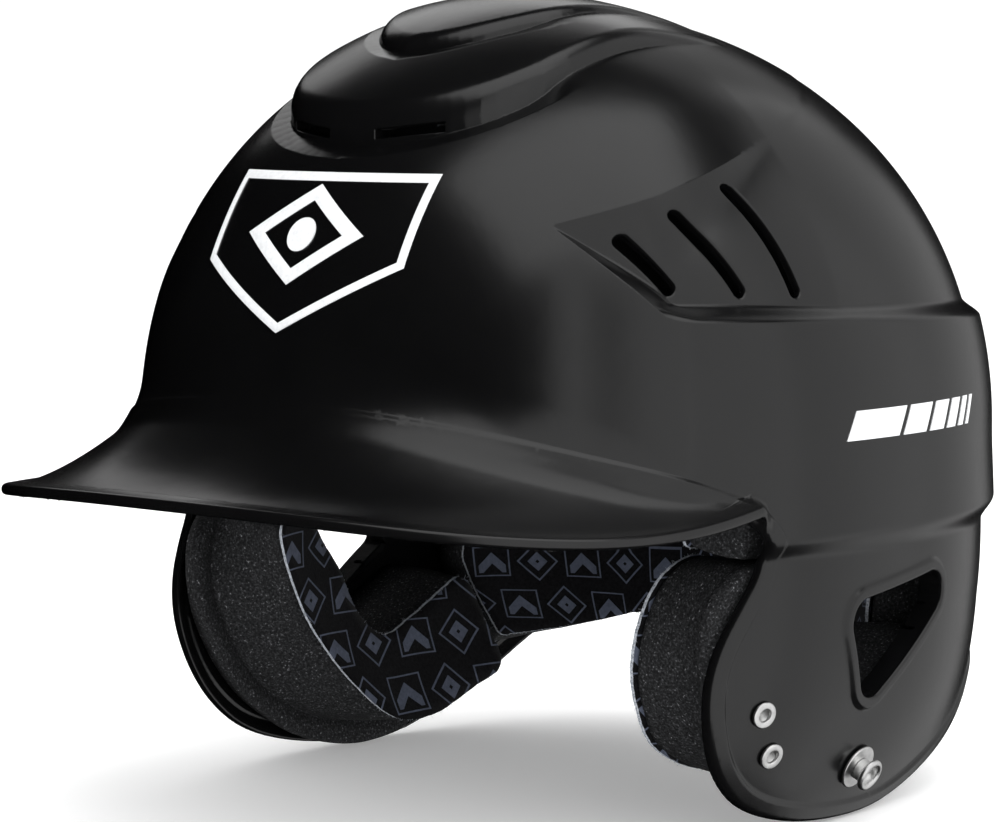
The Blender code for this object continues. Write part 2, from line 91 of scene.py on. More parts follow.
# Side outline of the opening, as (y, z)
OPENING_OUTLINE = [
    (-0.150, 0.020), (-0.112, 0.009), (-0.085, 0.000), (-0.060, -0.008), (-0.046, -0.014), (-0.0395, -0.0185),
    (-0.0385, -0.0235), (-0.0400, -0.0290), (-0.0445, -0.0360), (-0.0495, -0.0450), (-0.0515, -0.0540),
    (-0.0505, -0.0630), (-0.0470, -0.0730), (-0.0410, -0.0820), (-0.0310, -0.0900), (-0.0150, -0.0955),
    (0.0050, -0.0985), (0.0280, -0.0990), (0.0420, -0.0955), (0.0560, -0.0900), (0.0700, -0.0835),
    (0.0800, -0.0765), (0.0880, -0.0705), (0.1000, -0.0670), (0.1180, -0.0655), (0.1350, -0.0650),
    (0.170, -0.065),
]
OPENING_OUTSIDE = [(0.170, -0.200), (-0.150, -0.200)]
RIM_WIDTH = 0.0046
RIM_PROUD = 0.0008
RIM_ROUND = 0.0012
RIM_EDGE = 0.0008

# Brim: a plate from its root on the crown to a superellipse edge
BRIM_HALF_WIDTH = 0.108
BRIM_START_Y = -0.0455
BRIM_REACH = 0.104
BRIM_POWER = 2.6
BRIM_SIDE_Z = -0.0107
BRIM_DIP = -0.017
BRIM_TIP_RISE = 0.0197
BRIM_ROOT_LOW = -0.004
BRIM_ROOT_RISE = 0.026
BRIM_HOLLOW = 1.6
BRIM_FILLET = 0.011
BRIM_END_FILLET = 0.0025
BRIM_FILLET_ANGLES = (math.radians(70), math.radians(48))
BRIM_END_Y = -0.026
BRIM_END_NARROW = 0.010
BRIM_END_DROP = 0.006
BRIM_EDGE_ROUND = 0.0013
BRIM_RIM = (-0.0052, -0.0044)
BRIM_ROOT_TURN = 1.3
BRIM_ROOT_LAST = math.radians(69)
ROOT_EASE = 0.005

# Ear hole, as corners (y, z)
EAR_HOLE = [(-0.0085, -0.0385), (0.0530, -0.0310), (0.0035, -0.0675)]
EAR_HOLE_ROUND = 0.0060
EAR_HOLE_PROUD = 0.0010
EAR_HOLE_LIP = (0.0024, 0.0040)
COLLAR_HALF = 0.0010
COLLAR_DEPTH = 0.0035
COLLAR_HALF_TALL = 0.0030

# Vent slots as pairs of (angle, rise) in degrees
SIDE_SLOTS = [((52.7, 28.8), (59.5, 22.5)), ((62.4, 32.1), (71.1, 21.8)), ((73.8, 36.0), (80.8, 21.3))]
REAR_SLOTS = [((138.0, 33.0), (143.0, 21.0)), ((150.0, 35.0), (153.5, 21.0)), ((162.0, 36.0), (163.7, 23.5))]
SLOT_WIDTH = 0.0034
SLOT_BOW = 0.6
SLOT_BOW_RADIUS = 0.10
SLOT_ROUND = 0.0009

# Crown scoops, as plan outlines (x, y) of their left halves
LOW_TIER = [(0.0, -0.079), (0.012, -0.078), (0.026, -0.073), (0.038, -0.062), (0.044, -0.045), (0.046, 0.045)]
LOW_TIER_HEIGHT = 0.0042
LOW_TIER_ROUND = 0.0034
HIGH_TIER = [
    (0.0, -0.058), (0.010, -0.0555), (0.020, -0.047), (0.027, -0.035), (0.031, -0.017), (0.032, 0.045),
]
HIGH_TIER_HEIGHT = 0.0062
HIGH_TIER_ROUND = 0.0036
TIER_FADE = (-0.035, 0.045)
TIER_SINK = 0.0008

# Pads
PAD_START = 0.006
EAR_PAD_THICKNESS = 0.028
BAND_PAD_THICKNESS = 0.019
CROWN_PAD_THICKNESS = 0.014
CROWN_PAD_RADIUS = 0.048
CROWN_PAD_FACE = 0.040
BAND_RADIUS = 0.100
PAD_GRID = 0.0030
FACING_GRID = 0.0025
FACING_GAP = 0.0003
FACING_THICKNESS = 0.0009
THREAD_RADIUS = 0.00007
YARNS_PER_EDGE = 2
FOAM_WAVE = (0.0005, 60.0, 3.0)
PRINT_TILE = 0.0165
SIDES = (("left", 1), ("right", -1))
# Ear pads as (y, z): the foot at the wall and its stretch with a skirt, each side's face along its front and
# bottom, and the rest of both faces
EAR_FOOT = [
    (-0.0190, -0.0265), (-0.0350, -0.0255), (-0.0400, -0.0350), (-0.0420, -0.0450), (-0.0400, -0.0560),
    (-0.0345, -0.0670), (-0.0255, -0.0785), (-0.0140, -0.0865), (-0.0020, -0.0905), (0.0150, -0.0918),
    (0.0270, -0.0898), (0.0400, -0.0860), (0.0520, -0.0810), (0.0480, -0.0640), (0.0440, -0.0480),
    (0.0290, -0.0560), (0.0170, -0.0630), (0.0060, -0.0685), (-0.0010, -0.0650), (-0.0070, -0.0545),
    (-0.0100, -0.0470), (-0.0150, -0.0390), (-0.0180, -0.0335),
]
EAR_SKIRT = (2, 10)
EAR_FACES = {
    "left": [
        (-0.0205, -0.0275), (-0.0290, -0.0275), (-0.0360, -0.0330), (-0.0400, -0.0440), (-0.0403, -0.0540),
        (-0.0380, -0.0635), (-0.0320, -0.0745), (-0.0235, -0.0805), (-0.0110, -0.0860), (0.0080, -0.0890),
    ],
    "right": [
        (-0.0215, -0.0275), (-0.0400, -0.0275), (-0.0380, -0.0360), (-0.0320, -0.0465), (-0.0270, -0.0575),
        (-0.0200, -0.0665), (-0.0135, -0.0755), (-0.0060, -0.0830), (0.0020, -0.0880), (0.0120, -0.0887),
    ],
}
EAR_FACE_REST = [
    (0.0215, -0.0865), (0.0330, -0.0820), (0.0465, -0.0780), (0.0425, -0.0640), (0.0385, -0.0495),
    (0.0290, -0.0553), (0.0170, -0.0618), (0.0060, -0.0662), (-0.0002, -0.0630), (-0.0062, -0.0540),
    (-0.0088, -0.0470), (-0.0140, -0.0392), (-0.0180, -0.0340),
]
# Left half of the rear pad's face, as (y, z) of its inner side, from the bottom of the back to its top
REAR_FACE = [
    (0.1000, -0.0640), (0.0930, -0.0650), (0.0880, -0.0672), (0.0822, -0.0705), (0.0740, -0.0738),
    (0.0640, -0.0764), (0.0540, -0.0785), (0.0500, -0.0640), (0.0465, -0.0500), (0.0480, -0.0430),
    (0.0530, -0.0200), (0.0580, 0.0080), (0.0800, 0.0090), (0.1000, 0.0090),
]

# Badge on the forehead, and marks on the sides
BADGE_HALF_WIDTH = 0.034
BADGE_TOP = 0.071
BADGE_SHOULDER = 0.048
BADGE_POINT = 0.031
MARK_START = -0.0130
MARK_LOW = 0.0038
MARK_HIGH = 0.0112
MARK_SLANT = 0.0042
MARK_GAP = 0.0022
MARK_WIDTHS = (0.0220, 0.0110, 0.0075, 0.0050, 0.0030, 0.0018)
INK_STEP = 0.0012
INK_FOOT = -0.0002
INK_TOP = 0.0003

# Hardware on each flap, at (y, z)
INSERT_PLACES = {"upper": (-0.034, -0.064), "lower": (-0.028, -0.0755)}
SNAP_PLACE = (0.010, -0.0835)
INSERT_HOLE = 0.0028
SNAP_HOLE = 0.0018

# Camera and side lights, their angles in degrees
CAMERA_ANGLES = (41.277, 5.236)
CAMERA_DISTANCE = 1.03767
CAMERA_TARGET = (-0.01826, 0.0098, 0.10192)
CAMERA_LENS = 135.25
LIGHT_TARGET = (0.0, 0.0, 0.10)
SIDE_BOXES = ((62, 1.05), (98, 1.0), (134, 0.78), (170, 0.55))

# Grid of the shell's field, and the value that stands for a place far from a feature
GRID_STEP = 0.0015
FAR = 0.05


# ---------------------------------------------------------------- field of the shell

def smooth_step(low, high, value):
    t = np.clip((value - low) / (high - low), 0.0, 1.0)
    return t * t * (3 - 2 * t)


def round_max(a, b, radius):
    """Intersection of two fields with a round edge."""
    outside = np.hypot(np.maximum(a + radius, 0), np.maximum(b + radius, 0))
    return np.minimum(np.maximum(a, b), -radius) + outside


def soft_min(a, b, reach):
    blend = np.maximum(reach - np.abs(a - b), 0) / reach
    return np.minimum(a, b) - blend * blend * reach / 4


def polygon_distance(corners, p, q):
    """Signed distance in a plane to a closed polygon, negative inside."""
    nearest = np.full(np.broadcast(p, q).shape, 1.0)
    inside = np.zeros(nearest.shape, bool)
    count = len(corners)
    for i in range(count):
        (ap, aq), (bp, bq) = corners[i], corners[(i + 1) % count]
        ep, eq = bp - ap, bq - aq
        along = np.clip(((p - ap) * ep + (q - aq) * eq) / (ep * ep + eq * eq), 0, 1)
        nearest = np.minimum(nearest, (p - ap - along * ep) ** 2 + (q - aq - along * eq) ** 2)
        if eq:
            inside ^= ((aq > q) != (bq > q)) & (p < ap + (q - aq) * ep / eq)
    return np.where(inside, -1, 1) * np.sqrt(nearest)


def cut_corners(points, rounds=2):
    """A smoother line through a row of points, by cutting its corners."""
    for _ in range(rounds):
        new = [points[0]]
        for a, b in zip(points, points[1:]):
            new.append((0.75 * a[0] + 0.25 * b[0], 0.75 * a[1] + 0.25 * b[1]))
            new.append((0.25 * a[0] + 0.75 * b[0], 0.25 * a[1] + 0.75 * b[1]))
        points = new + [points[-1]]
    return points


def wall_scale(z):
    depth = np.maximum(-z, 0) / WALL_UNIT
    flare = np.sqrt(depth * depth + FLARE_EASE**2) - FLARE_EASE
    return 1 + WALL_FLARE * flare - WALL_TUCK * depth**3


def back_reach(z):
    """Reach of the back, which keeps its size where the sides tuck in."""
    return BACK_REACH / np.minimum(wall_scale(z), 1)


def section_scale(z):
    top = np.clip(1 - (np.maximum(z, 0) / CROWN_HEIGHT) ** RISE_POWER, 0, 1) ** (1 / RISE_POWER)
    return np.where(z >= 0, top, wall_scale(z))


def crown_distance(x, y, z):
    """Distance to the smooth outer surface, to first order."""
    reach = np.where(y < 0, FRONT_REACH, back_reach(z))
    ax = np.abs(x) / HALF_WIDTH + 1e-9
    ay = np.abs(y) / reach + 1e-9
    rho = (ax**PLAN_POWER + ay**PLAN_POWER) ** (1 / PLAN_POWER)
    slope_x = (ax / rho) ** (PLAN_POWER - 1) / HALF_WIDTH
    slope_y = (ay / rho) ** (PLAN_POWER - 1) / reach
    plan_slope = slope_x**2 + slope_y**2
    rise = np.maximum(z, 0) / CROWN_HEIGHT + 1e-9
    level = (rho**RISE_POWER + rise**RISE_POWER) ** (1 / RISE_POWER)
    steepness = ((rise / level) ** (RISE_POWER - 1) / CROWN_HEIGHT) ** 2
    upper = (level - 1) / np.sqrt(plan_slope * (rho / level) ** (2 * RISE_POWER - 2) + steepness)
    scale = wall_scale(z)
    fall = (wall_scale(z + 0.0005) - wall_scale(z - 0.0005)) / 0.001
    lower = (rho / scale - 1) / np.sqrt(plan_slope / scale**2 + (rho * fall / scale**2) ** 2)
    return np.where(z >= 0, upper, lower)


def plan_angle(x, y):
    """The angle of the shell's own grid: 0 in front, 180 degrees at the back."""
    reach = np.where(y < 0, FRONT_REACH, BACK_REACH)
    across = (np.abs(x) / HALF_WIDTH) ** (PLAN_POWER / 2)
    ahead = -np.sign(y) * (np.abs(y) / reach) ** (PLAN_POWER / 2)
    return np.arctan2(across, ahead)


def ledge_share(y, z):
    """1 below the ledge and 0 above it."""
    middle = LEDGE_AT + LEDGE_SLOPE * y
    return smooth_step(middle + LEDGE_TALL / 2, middle - LEDGE_TALL / 2, z)


def side_relief(x, y, z, lag=0.0):
    """Height of the lower band, and of the recess above its ledge, over the smooth crown.

    The ledge can lie lower by a lag, as it does on the inner face, where it keeps the wall thick.
    """
    (ty, tz), (ey, ez), (ly, lz) = RECESS_TIP, RECESS_END, RECESS_LOW
    length = math.hypot(ey - ty, ez - tz)
    below_ridge = ((y - ty) * (ez - tz) - (z - tz) * (ey - ty)) / length
    length = math.hypot(ly - ty, lz - tz)
    behind_front = ((y - ty) * (tz - lz) + (z - tz) * (ly - ty)) / length
    walls = np.maximum(soft_min(below_ridge * RIDGE_SLOPE, behind_front * FRONT_SLOPE, RIDGE_BLEND), 0)
    floor = RECESS_DEPTH * np.clip((ey - y) / (ey - ty), 0, 1)
    band = BAND_PROUD * smooth_step(*BAND_ANGLES, plan_angle(x, y)) * smooth_step(STEP_FOOT, STEP_TOP, z)
    above = -soft_min(walls - band * smooth_step(BAND_FADE_TOP, LEDGE_AT, z), floor, FLOOR_BLEND)
    low = ledge_share(y, z + lag)
    return above * (1 - low) + band * low


def mirrored(half):
    """A whole outline from its left half."""
    return half + [(-x, y) for x, y in reversed(half) if x > 0]


OPENING = cut_corners(OPENING_OUTLINE) + OPENING_OUTSIDE
LOW_TIER_PLAN = mirrored(cut_corners(LOW_TIER))
HIGH_TIER_PLAN = mirrored(cut_corners(HIGH_TIER))


def where(mask, default, field, *arrays):
    """A field worked out only where a mask says so."""
    out = np.full(len(mask), default)
    if mask.any():
        out[mask] = field(*(values[mask] for values in arrays))
    return out


def opening_distance(y, z):
    """Signed distance to the space outside the side outline, negative where there is shell."""
    rough = -polygon_distance(OPENING_OUTLINE + OPENING_OUTSIDE, y, z)
    near = np.abs(rough) < 0.008
    rough[near] = -polygon_distance(OPENING, y[near], z[near])
    return rough


def ear_hole_distance(y, z):
    centres = []
    for i in range(3):
        here = Vector(EAR_HOLE[i])
        before = (Vector(EAR_HOLE[i - 1]) - here).normalized()
        after = (Vector(EAR_HOLE[(i + 1) % 3]) - here).normalized()
        half = before.angle(after) / 2
        centres.append(tuple(here + (before + after).normalized() * (EAR_HOLE_ROUND / math.sin(half))))
    return polygon_distance(centres, y, z) - EAR_HOLE_ROUND


def shelf(out, y, width, depth, fade):
    """A shelf round the front of a tier, deepest at its foot; out is the distance from the tier's outline."""
    return -depth * np.clip(1 - np.maximum(out, 0) / width, 0, 1) * (1 - smooth_step(*fade, y))


def brim_parts(x, y):
    """Height of the brim's upper face over the plan, and the plan distance past its edge."""
    back = smooth_step(BRIM_START_Y, -0.030, y)
    half_width = BRIM_HALF_WIDTH - BRIM_END_NARROW * back
    ex = np.abs(x) / half_width + 1e-6
    ey = np.maximum(BRIM_START_Y - y, 0) / BRIM_REACH + 1e-9
    level = (ex**BRIM_POWER + ey**BRIM_POWER) ** (1 / BRIM_POWER)
    slope_x = (ex / level) ** (BRIM_POWER - 1) / half_width
    slope_y = (ey / level) ** (BRIM_POWER - 1) / BRIM_REACH
    past_edge = (level - 1) / np.hypot(slope_x, slope_y)
    out = ey / level
    edge_z = BRIM_SIDE_Z + BRIM_DIP * out + BRIM_TIP_RISE * out**2
    edge_z = edge_z - BRIM_END_DROP * smooth_step(BRIM_START_Y, -0.034, y)
    angle = np.minimum(plan_angle(x, y), BRIM_ROOT_LAST)
    root_z = BRIM_ROOT_LOW + BRIM_ROOT_RISE * np.cos(angle * BRIM_ROOT_TURN) ** 2
    reach = np.where(y < 0, FRONT_REACH, BACK_REACH)
    rho = (np.abs(x) / HALF_WIDTH) ** PLAN_POWER + (np.abs(y) / reach) ** PLAN_POWER
    rho = rho ** (1 / PLAN_POWER) + 1e-6
    from_root = np.hypot(x, y) * (1 - section_scale(root_z) / rho) + WALL / 2
    from_root = (from_root + np.sqrt(from_root**2 + ROOT_EASE**2)) / 2
    to_edge = np.maximum(np.hypot(x, np.minimum(y - BRIM_START_Y, 0)) * (1 / level - 1), 0)
    v = from_root / (from_root + to_edge + 1e-6)
    top = edge_z + (root_z - edge_z) * (1 - v) ** BRIM_HOLLOW
    rim = RIM_PROUD * smooth_step(*BRIM_RIM, past_edge)
    return top + rim, past_edge


def brim_field(x, y, z):
    step = 0.0005
    top, past_edge = brim_parts(x, y)
    slope_x = (brim_parts(x + step, y)[0] - top) / step
    slope_y = (brim_parts(x, y + step)[0] - top) / step
    steep = np.sqrt(1 + np.minimum(slope_x**2 + slope_y**2, 9.0))
    plate = np.abs((z - top) / steep + WALL / 2) - WALL / 2
    plate = round_max(plate, past_edge, BRIM_EDGE_ROUND)
    return np.maximum(plate, y - BRIM_END_Y)


def point_at(angle, z, out=0.0):
    """Point of the outer surface in the crown's frame; the angle is in radians and positive to the left."""
    scale = float(section_scale(np.float64(z)))
    reach = FRONT_REACH if math.cos(angle) > 0 else float(back_reach(np.float64(z)))
    sine, cosine = math.sin(angle), math.cos(angle)
    x = (HALF_WIDTH + out) * scale * math.copysign(abs(sine) ** (2 / PLAN_POWER), sine)
    y = -(reach + out) * scale * math.copysign(abs(cosine) ** (2 / PLAN_POWER), cosine)
    return Vector((x, y, z * (CROWN_HEIGHT + out) / CROWN_HEIGHT if z > 0 else z))


def rise_to_z(degrees):
    return CROWN_HEIGHT * math.sin(math.radians(degrees)) ** (2 / RISE_POWER)


def slot_frames():
    """Middle, along, across, normal and half length of each slot on the left side."""
    frames = []
    for (angle_a, rise_a), (angle_b, rise_b) in SIDE_SLOTS + REAR_SLOTS:
        first = point_at(math.radians(angle_a), rise_to_z(rise_a))
        last = point_at(math.radians(angle_b), rise_to_z(rise_b))
        angle, z = math.radians((angle_a + angle_b) / 2), rise_to_z((rise_a + rise_b) / 2)
        outwards = point_at(angle, z, 0.001) - point_at(angle, z)
        along = (last - first).normalized()
        across = outwards.cross(along).normalized()
        normal = along.cross(across).normalized()
        frames.append(((first + last) / 2, along, across, normal, (last - first).length / 2))
    return frames


SLOTS = slot_frames()


def dot(x, y, z, axis):
    return x * axis.x + y * axis.y + z * axis.z


def slot_distance(x, y, z):
    nearest = np.full(np.broadcast(x, y, z).shape, FAR)
    for middle, along, across, normal, half in SLOTS:
        dx, dy, dz = np.abs(x) - middle.x, y - middle.y, z - middle.z
        a, c, n = (dot(dx, dy, dz, axis) for axis in (along, across, normal))
        c = c + SLOT_BOW * (a * a - half * half) / SLOT_BOW_RADIUS
        flat = np.hypot(np.maximum(np.abs(a) - half, 0), c) - SLOT_WIDTH / 2
        nearest = np.minimum(nearest, np.maximum(flat, np.abs(n) - 0.015))
    return nearest


def side_point(y, z):
    """Point of the left wall at (y, z), with its outward normal."""
    reach = FRONT_REACH if y < 0 else float(back_reach(np.float64(z)))
    reach *= float(section_scale(np.float64(z)))
    cosine = max(-1.0, min(1.0, -math.copysign(abs(y / reach) ** (PLAN_POWER / 2), y)))
    place = point_at(math.acos(cosine), z)
    steps = 0.0004 * np.eye(3)
    slope = crown_distance(*(np.array(place) + steps).T) - crown_distance(*(np.array(place) - steps).T)
    return place, Vector(slope).normalized()


HOLES = [(*side_point(y, z), INSERT_HOLE) for y, z in INSERT_PLACES.values()]
HOLES.append((*side_point(*SNAP_PLACE), SNAP_HOLE))


def hole_distance(x, y, z):
    nearest = np.full(np.broadcast(x, y, z).shape, FAR)
    for place, normal, radius in HOLES:
        dx, dy, dz = np.abs(x) - place.x, y - place.y, z - place.z
        n = dot(dx, dy, dz, normal)
        off = np.sqrt(np.maximum(dx * dx + dy * dy + dz * dz - n * n, 0)) - radius
        nearest = np.minimum(nearest, np.maximum(off, np.abs(n) - 0.008))
    return nearest


def box_distance(x, y, z, low, high):
    return np.maximum.reduce([np.broadcast_to(np.maximum(lo - v, v - hi), np.broadcast(x, y, z).shape)
                              for v, lo, hi in zip((x, y, z), low, high)])


def tier_fields(x, y, d):
    """The two raised tiers, which sink into the crown towards the back."""
    fade = 1 - smooth_step(*TIER_FADE, y)
    low_plan = polygon_distance(LOW_TIER_PLAN, x, y)
    high_plan = polygon_distance(HIGH_TIER_PLAN, x, y)
    low_height = (LOW_TIER_HEIGHT + TIER_SINK) * fade - TIER_SINK
    low_height = low_height + shelf(high_plan, y, 0.0040, 0.0012, (-0.044, -0.026))
    low = np.maximum(round_max(d - low_height, low_plan, LOW_TIER_ROUND), -(d + WALL))
    high_height = (HIGH_TIER_HEIGHT + TIER_SINK) * fade - TIER_SINK
    high = np.maximum(round_max(d - high_height, high_plan, HIGH_TIER_ROUND), -(d + WALL))
    return np.minimum(low, high)


def low_slit_distance(x, y, z):
    """The pair of intake slits under the low tier's front edge."""
    level = z - 0.0815 - 0.11 * (np.abs(x) - 0.017)
    return box_distance(np.abs(x), y, level, (0.008, -0.095, -0.0012), (0.026, -0.058, 0.0012))


def low_shelf(x, y):
    """The shelf in the crown round the low tier's front."""
    return shelf(polygon_distance(LOW_TIER_PLAN, x, y), y, 0.0052, 0.0020, (-0.058, -0.040))


def shell_field(x, y, z):
    """Signed distance, to first order, to the moulded shell: negative in the plastic."""
    d = crown_distance(x, y, z)
    cap = z > 0.05
    opening = where(z < 0.03, -0.03, opening_distance, y, z)
    ear = where((z < -0.01) & (np.abs(y - 0.02) < 0.05), FAR, ear_hole_distance, y, z)
    slots = where((z > 0.02) & (z < 0.09), FAR, slot_distance, x, y, z)
    relief = side_relief(x, y, z)
    wall_depth = WALL + relief - side_relief(x, y, z, LEDGE_LAG)
    relief = relief + RIM_PROUD * smooth_step(-RIM_WIDTH - RIM_EDGE, -RIM_WIDTH + RIM_EDGE, opening)
    relief = relief + EAR_HOLE_PROUD * (1 - smooth_step(*EAR_HOLE_LIP, ear))
    relief = relief + where(cap, 0.0, low_shelf, x, y)
    wall = np.maximum(d - relief, relief - d - wall_depth)
    wall = round_max(wall, opening, RIM_ROUND)
    brim = where((y < -0.024) & (z < 0.06), FAR, brim_field, x, y, z)
    brim = np.maximum(brim, -(d - relief + WALL / 2))
    front = smooth_step(*BRIM_FILLET_ANGLES, plan_angle(x, y))
    blend = BRIM_END_FILLET + (BRIM_FILLET - BRIM_END_FILLET) * front
    body = np.maximum(soft_min(wall, brim, blend), relief - d - wall_depth)
    body = np.minimum(body, where(cap, FAR, tier_fields, x, y, d))
    body = round_max(body, -where(cap, FAR, low_slit_distance, x, y, z), 0.0004)
    body = round_max(body, -ear, 0.0010)
    collar = np.maximum(np.abs(ear - COLLAR_HALF) - COLLAR_HALF, np.abs(d + COLLAR_DEPTH) - COLLAR_HALF_TALL)
    body = np.minimum(body, collar)
    body = round_max(body, -slots, SLOT_ROUND)
    return round_max(body, -where(z < -0.04, FAR, hole_distance, x, y, z), 0.0004)


# ---------------------------------------------------------------- mesh of a field

POOL = concurrent.futures.ThreadPoolExecutor(4)
CHUNK = 30000


def evaluate(field, points):
    parts = [points[start:start + CHUNK] for start in range(0, len(points), CHUNK)]
    return np.concatenate(list(POOL.map(lambda part: field(*part.T.copy()), parts)))


def field_gradient(field, points):
    h = 0.0002
    slope = np.empty_like(points)
    for axis in range(3):
        ahead, behind = points.copy(), points.copy()
        ahead[:, axis] += h
        behind[:, axis] -= h
        slope[:, axis] = (evaluate(field, ahead) - evaluate(field, behind)) / (2 * h)
    return slope


def settle(field, points, rounds, most):
    """Moves points onto the zero surface and returns them with their normals."""
    for _ in range(rounds):
        value, slope = evaluate(field, points), field_gradient(field, points)
        size = np.maximum((slope**2).sum(1), 0.09)
        move = (value / size)[:, None] * slope
        far = np.maximum(np.linalg.norm(move, axis=1), 1e-12)
        points = points - move * np.minimum(1, most / far)[:, None]
    return points, slope / np.maximum(np.linalg.norm(slope, axis=1), 1e-12)[:, None]


def block_values(field, axes, step, block=4):
    """The field on a grid, worked out only in blocks near the surface, with its sign elsewhere."""
    counts = [-(-(len(axis) - 1) // block) for axis in axes]
    centres = [axis[0] + (np.arange(n) + 0.5) * block * step for axis, n in zip(axes, counts)]
    mesh = np.stack([c.ravel() for c in np.meshgrid(*centres, indexing="ij")], 1)
    coarse = evaluate(field, mesh).reshape(counts)
    near = np.abs(coarse) < block * step * 0.87 + 0.0018
    shape = [n * block + 1 for n in counts]
    mask = np.zeros(shape, bool)
    values = np.empty(shape)
    for i, j, k in np.ndindex(block + 1, block + 1, block + 1):
        place = tuple(slice(o, o + n * block, block) for o, n in zip((i, j, k), counts))
        mask[place] |= near
        values[place] = np.sign(coarse) * FAR
    nodes = np.argwhere(mask)
    start = np.array([axis[0] for axis in axes])
    values[tuple(nodes.T)] = evaluate(field, start + nodes * step)
    return values


def net_surface(field, low, high, step):
    """Quads over the zero surface of a field where x > 0, one vertex to each grid cell it crosses."""
    start = np.array([-step / 2, low[1], low[2]])
    axes = [np.arange(start[i], high[i] + step, step) for i in range(3)]
    values = block_values(field, axes, step)
    inside = values < 0
    shape = tuple(n - 1 for n in values.shape)
    corners = [(i, j, k) for i in (0, 1) for j in (0, 1) for k in (0, 1)]
    count = sum(inside[i:i + shape[0], j:j + shape[1], k:k + shape[2]].astype(np.int8) for i, j, k in corners)
    cells = np.argwhere((count > 0) & (count < 8))
    number = np.full(shape, -1, np.int64)
    number[tuple(cells.T)] = np.arange(len(cells))
    held = np.stack([values[cells[:, 0] + i, cells[:, 1] + j, cells[:, 2] + k] for i, j, k in corners], 1)
    total, crossings = np.zeros((len(cells), 3)), np.zeros(len(cells))
    for a in range(8):
        for b in range(a + 1, 8):
            if sum(p != q for p, q in zip(corners[a], corners[b])) != 1:
                continue
            va, vb = held[:, a], held[:, b]
            cross = (va < 0) != (vb < 0)
            t = np.where(cross, va / np.where(cross, va - vb, 1), 0)
            place = np.array(corners[a]) + t[:, None] * (np.array(corners[b]) - np.array(corners[a]))
            total += place * cross[:, None]
            crossings += cross
    points = start + (cells + total / crossings[:, None]) * step
    quads = []
    for axis in range(3):
        u, v = (axis + 1) % 3, (axis + 2) % 3
        ahead = [slice(None)] * 3
        behind = [slice(None)] * 3
        ahead[axis], behind[axis] = slice(1, None), slice(None, -1)
        edges = np.argwhere(inside[tuple(behind)] != inside[tuple(ahead)])
        edges = edges[(edges[:, u] > 0) & (edges[:, v] > 0)]
        edges = edges[(edges[:, u] < shape[u]) & (edges[:, v] < shape[v])]
        ring = []
        for du, dv in ((-1, -1), (0, -1), (0, 0), (-1, 0)):
            cell = edges.copy()
            cell[:, u] += du
            cell[:, v] += dv
            ring.append(number[tuple(cell.T)])
        quad = np.stack(ring, 1)
        out = inside[tuple(edges.T)]
        quad[~out] = quad[~out][:, ::-1]
        quads.append(quad)
    return points, np.concatenate(quads), cells[:, 0] == 0


def relax(points, quads, normals):
    """Evens out the vertices along the surface."""
    middle = points[quads].mean(1)
    total, count = np.zeros_like(points), np.zeros(len(points))
    for corner in range(4):
        np.add.at(total, quads[:, corner], middle)
        np.add.at(count, quads[:, corner], 1)
    move = total / np.maximum(count, 1)[:, None] - points
    move -= (move * normals).sum(1)[:, None] * normals
    return points + 0.7 * move


def refine(points, faces, normals, seam, least_turn):
    """Splits each quad whose corners' normals turn by more than an angle, and fits its neighbours to it."""
    quads = np.array([face for face in faces if len(face) == 4])
    others = [face for face in faces if len(face) != 4]
    turn = np.zeros(len(quads))
    for a, b in ((0, 1), (1, 2), (2, 3), (3, 0), (0, 2), (1, 3)):
        turn = np.maximum(turn, 1 - (normals[quads[:, a]] * normals[quads[:, b]]).sum(1))
    chosen = turn > 1 - math.cos(math.radians(least_turn))
    split = quads[chosen]
    edges = np.sort(np.concatenate([split[:, [i, (i + 1) % 4]] for i in range(4)]), 1)
    unique, index = np.unique(edges, axis=0, return_inverse=True)
    index = index.reshape(4, -1).T + len(points)
    centre = np.arange(len(split)) + len(points) + len(unique)
    made = [np.stack([split[:, i], index[:, i], centre, index[:, i - 1]], 1) for i in range(4)]
    points = np.concatenate([points, points[unique].mean(1), points[split].mean(1)])
    seam = np.concatenate([seam, seam[unique].all(1), np.zeros(len(split), bool)])
    middles = {(a, b): len(points) - len(unique) - len(split) + i for i, (a, b) in enumerate(unique.tolist())}
    kept = []
    for face in quads[~chosen].tolist() + others:
        ring = []
        for a, b in zip(face, face[1:] + face[:1]):
            ring.append(a)
            middle = middles.get((min(a, b), max(a, b)))
            if middle is not None:
                ring.append(middle)
        kept.append(ring)
    return points, kept + np.concatenate(made).tolist(), seam


def fan(points, faces):
    """Splits each face of more than four corners into triangles round a new point in its middle."""
    whole = [face for face in faces if len(face) <= 4]
    middles = []
    for face in faces:
        if len(face) > 4:
            centre = len(points) + len(middles)
            middles.append(points[face].mean(0))
            whole += [[a, b, centre] for a, b in zip(face, face[1:] + face[:1])]
    return np.concatenate([points, np.array(middles).reshape(-1, 3)]), whole


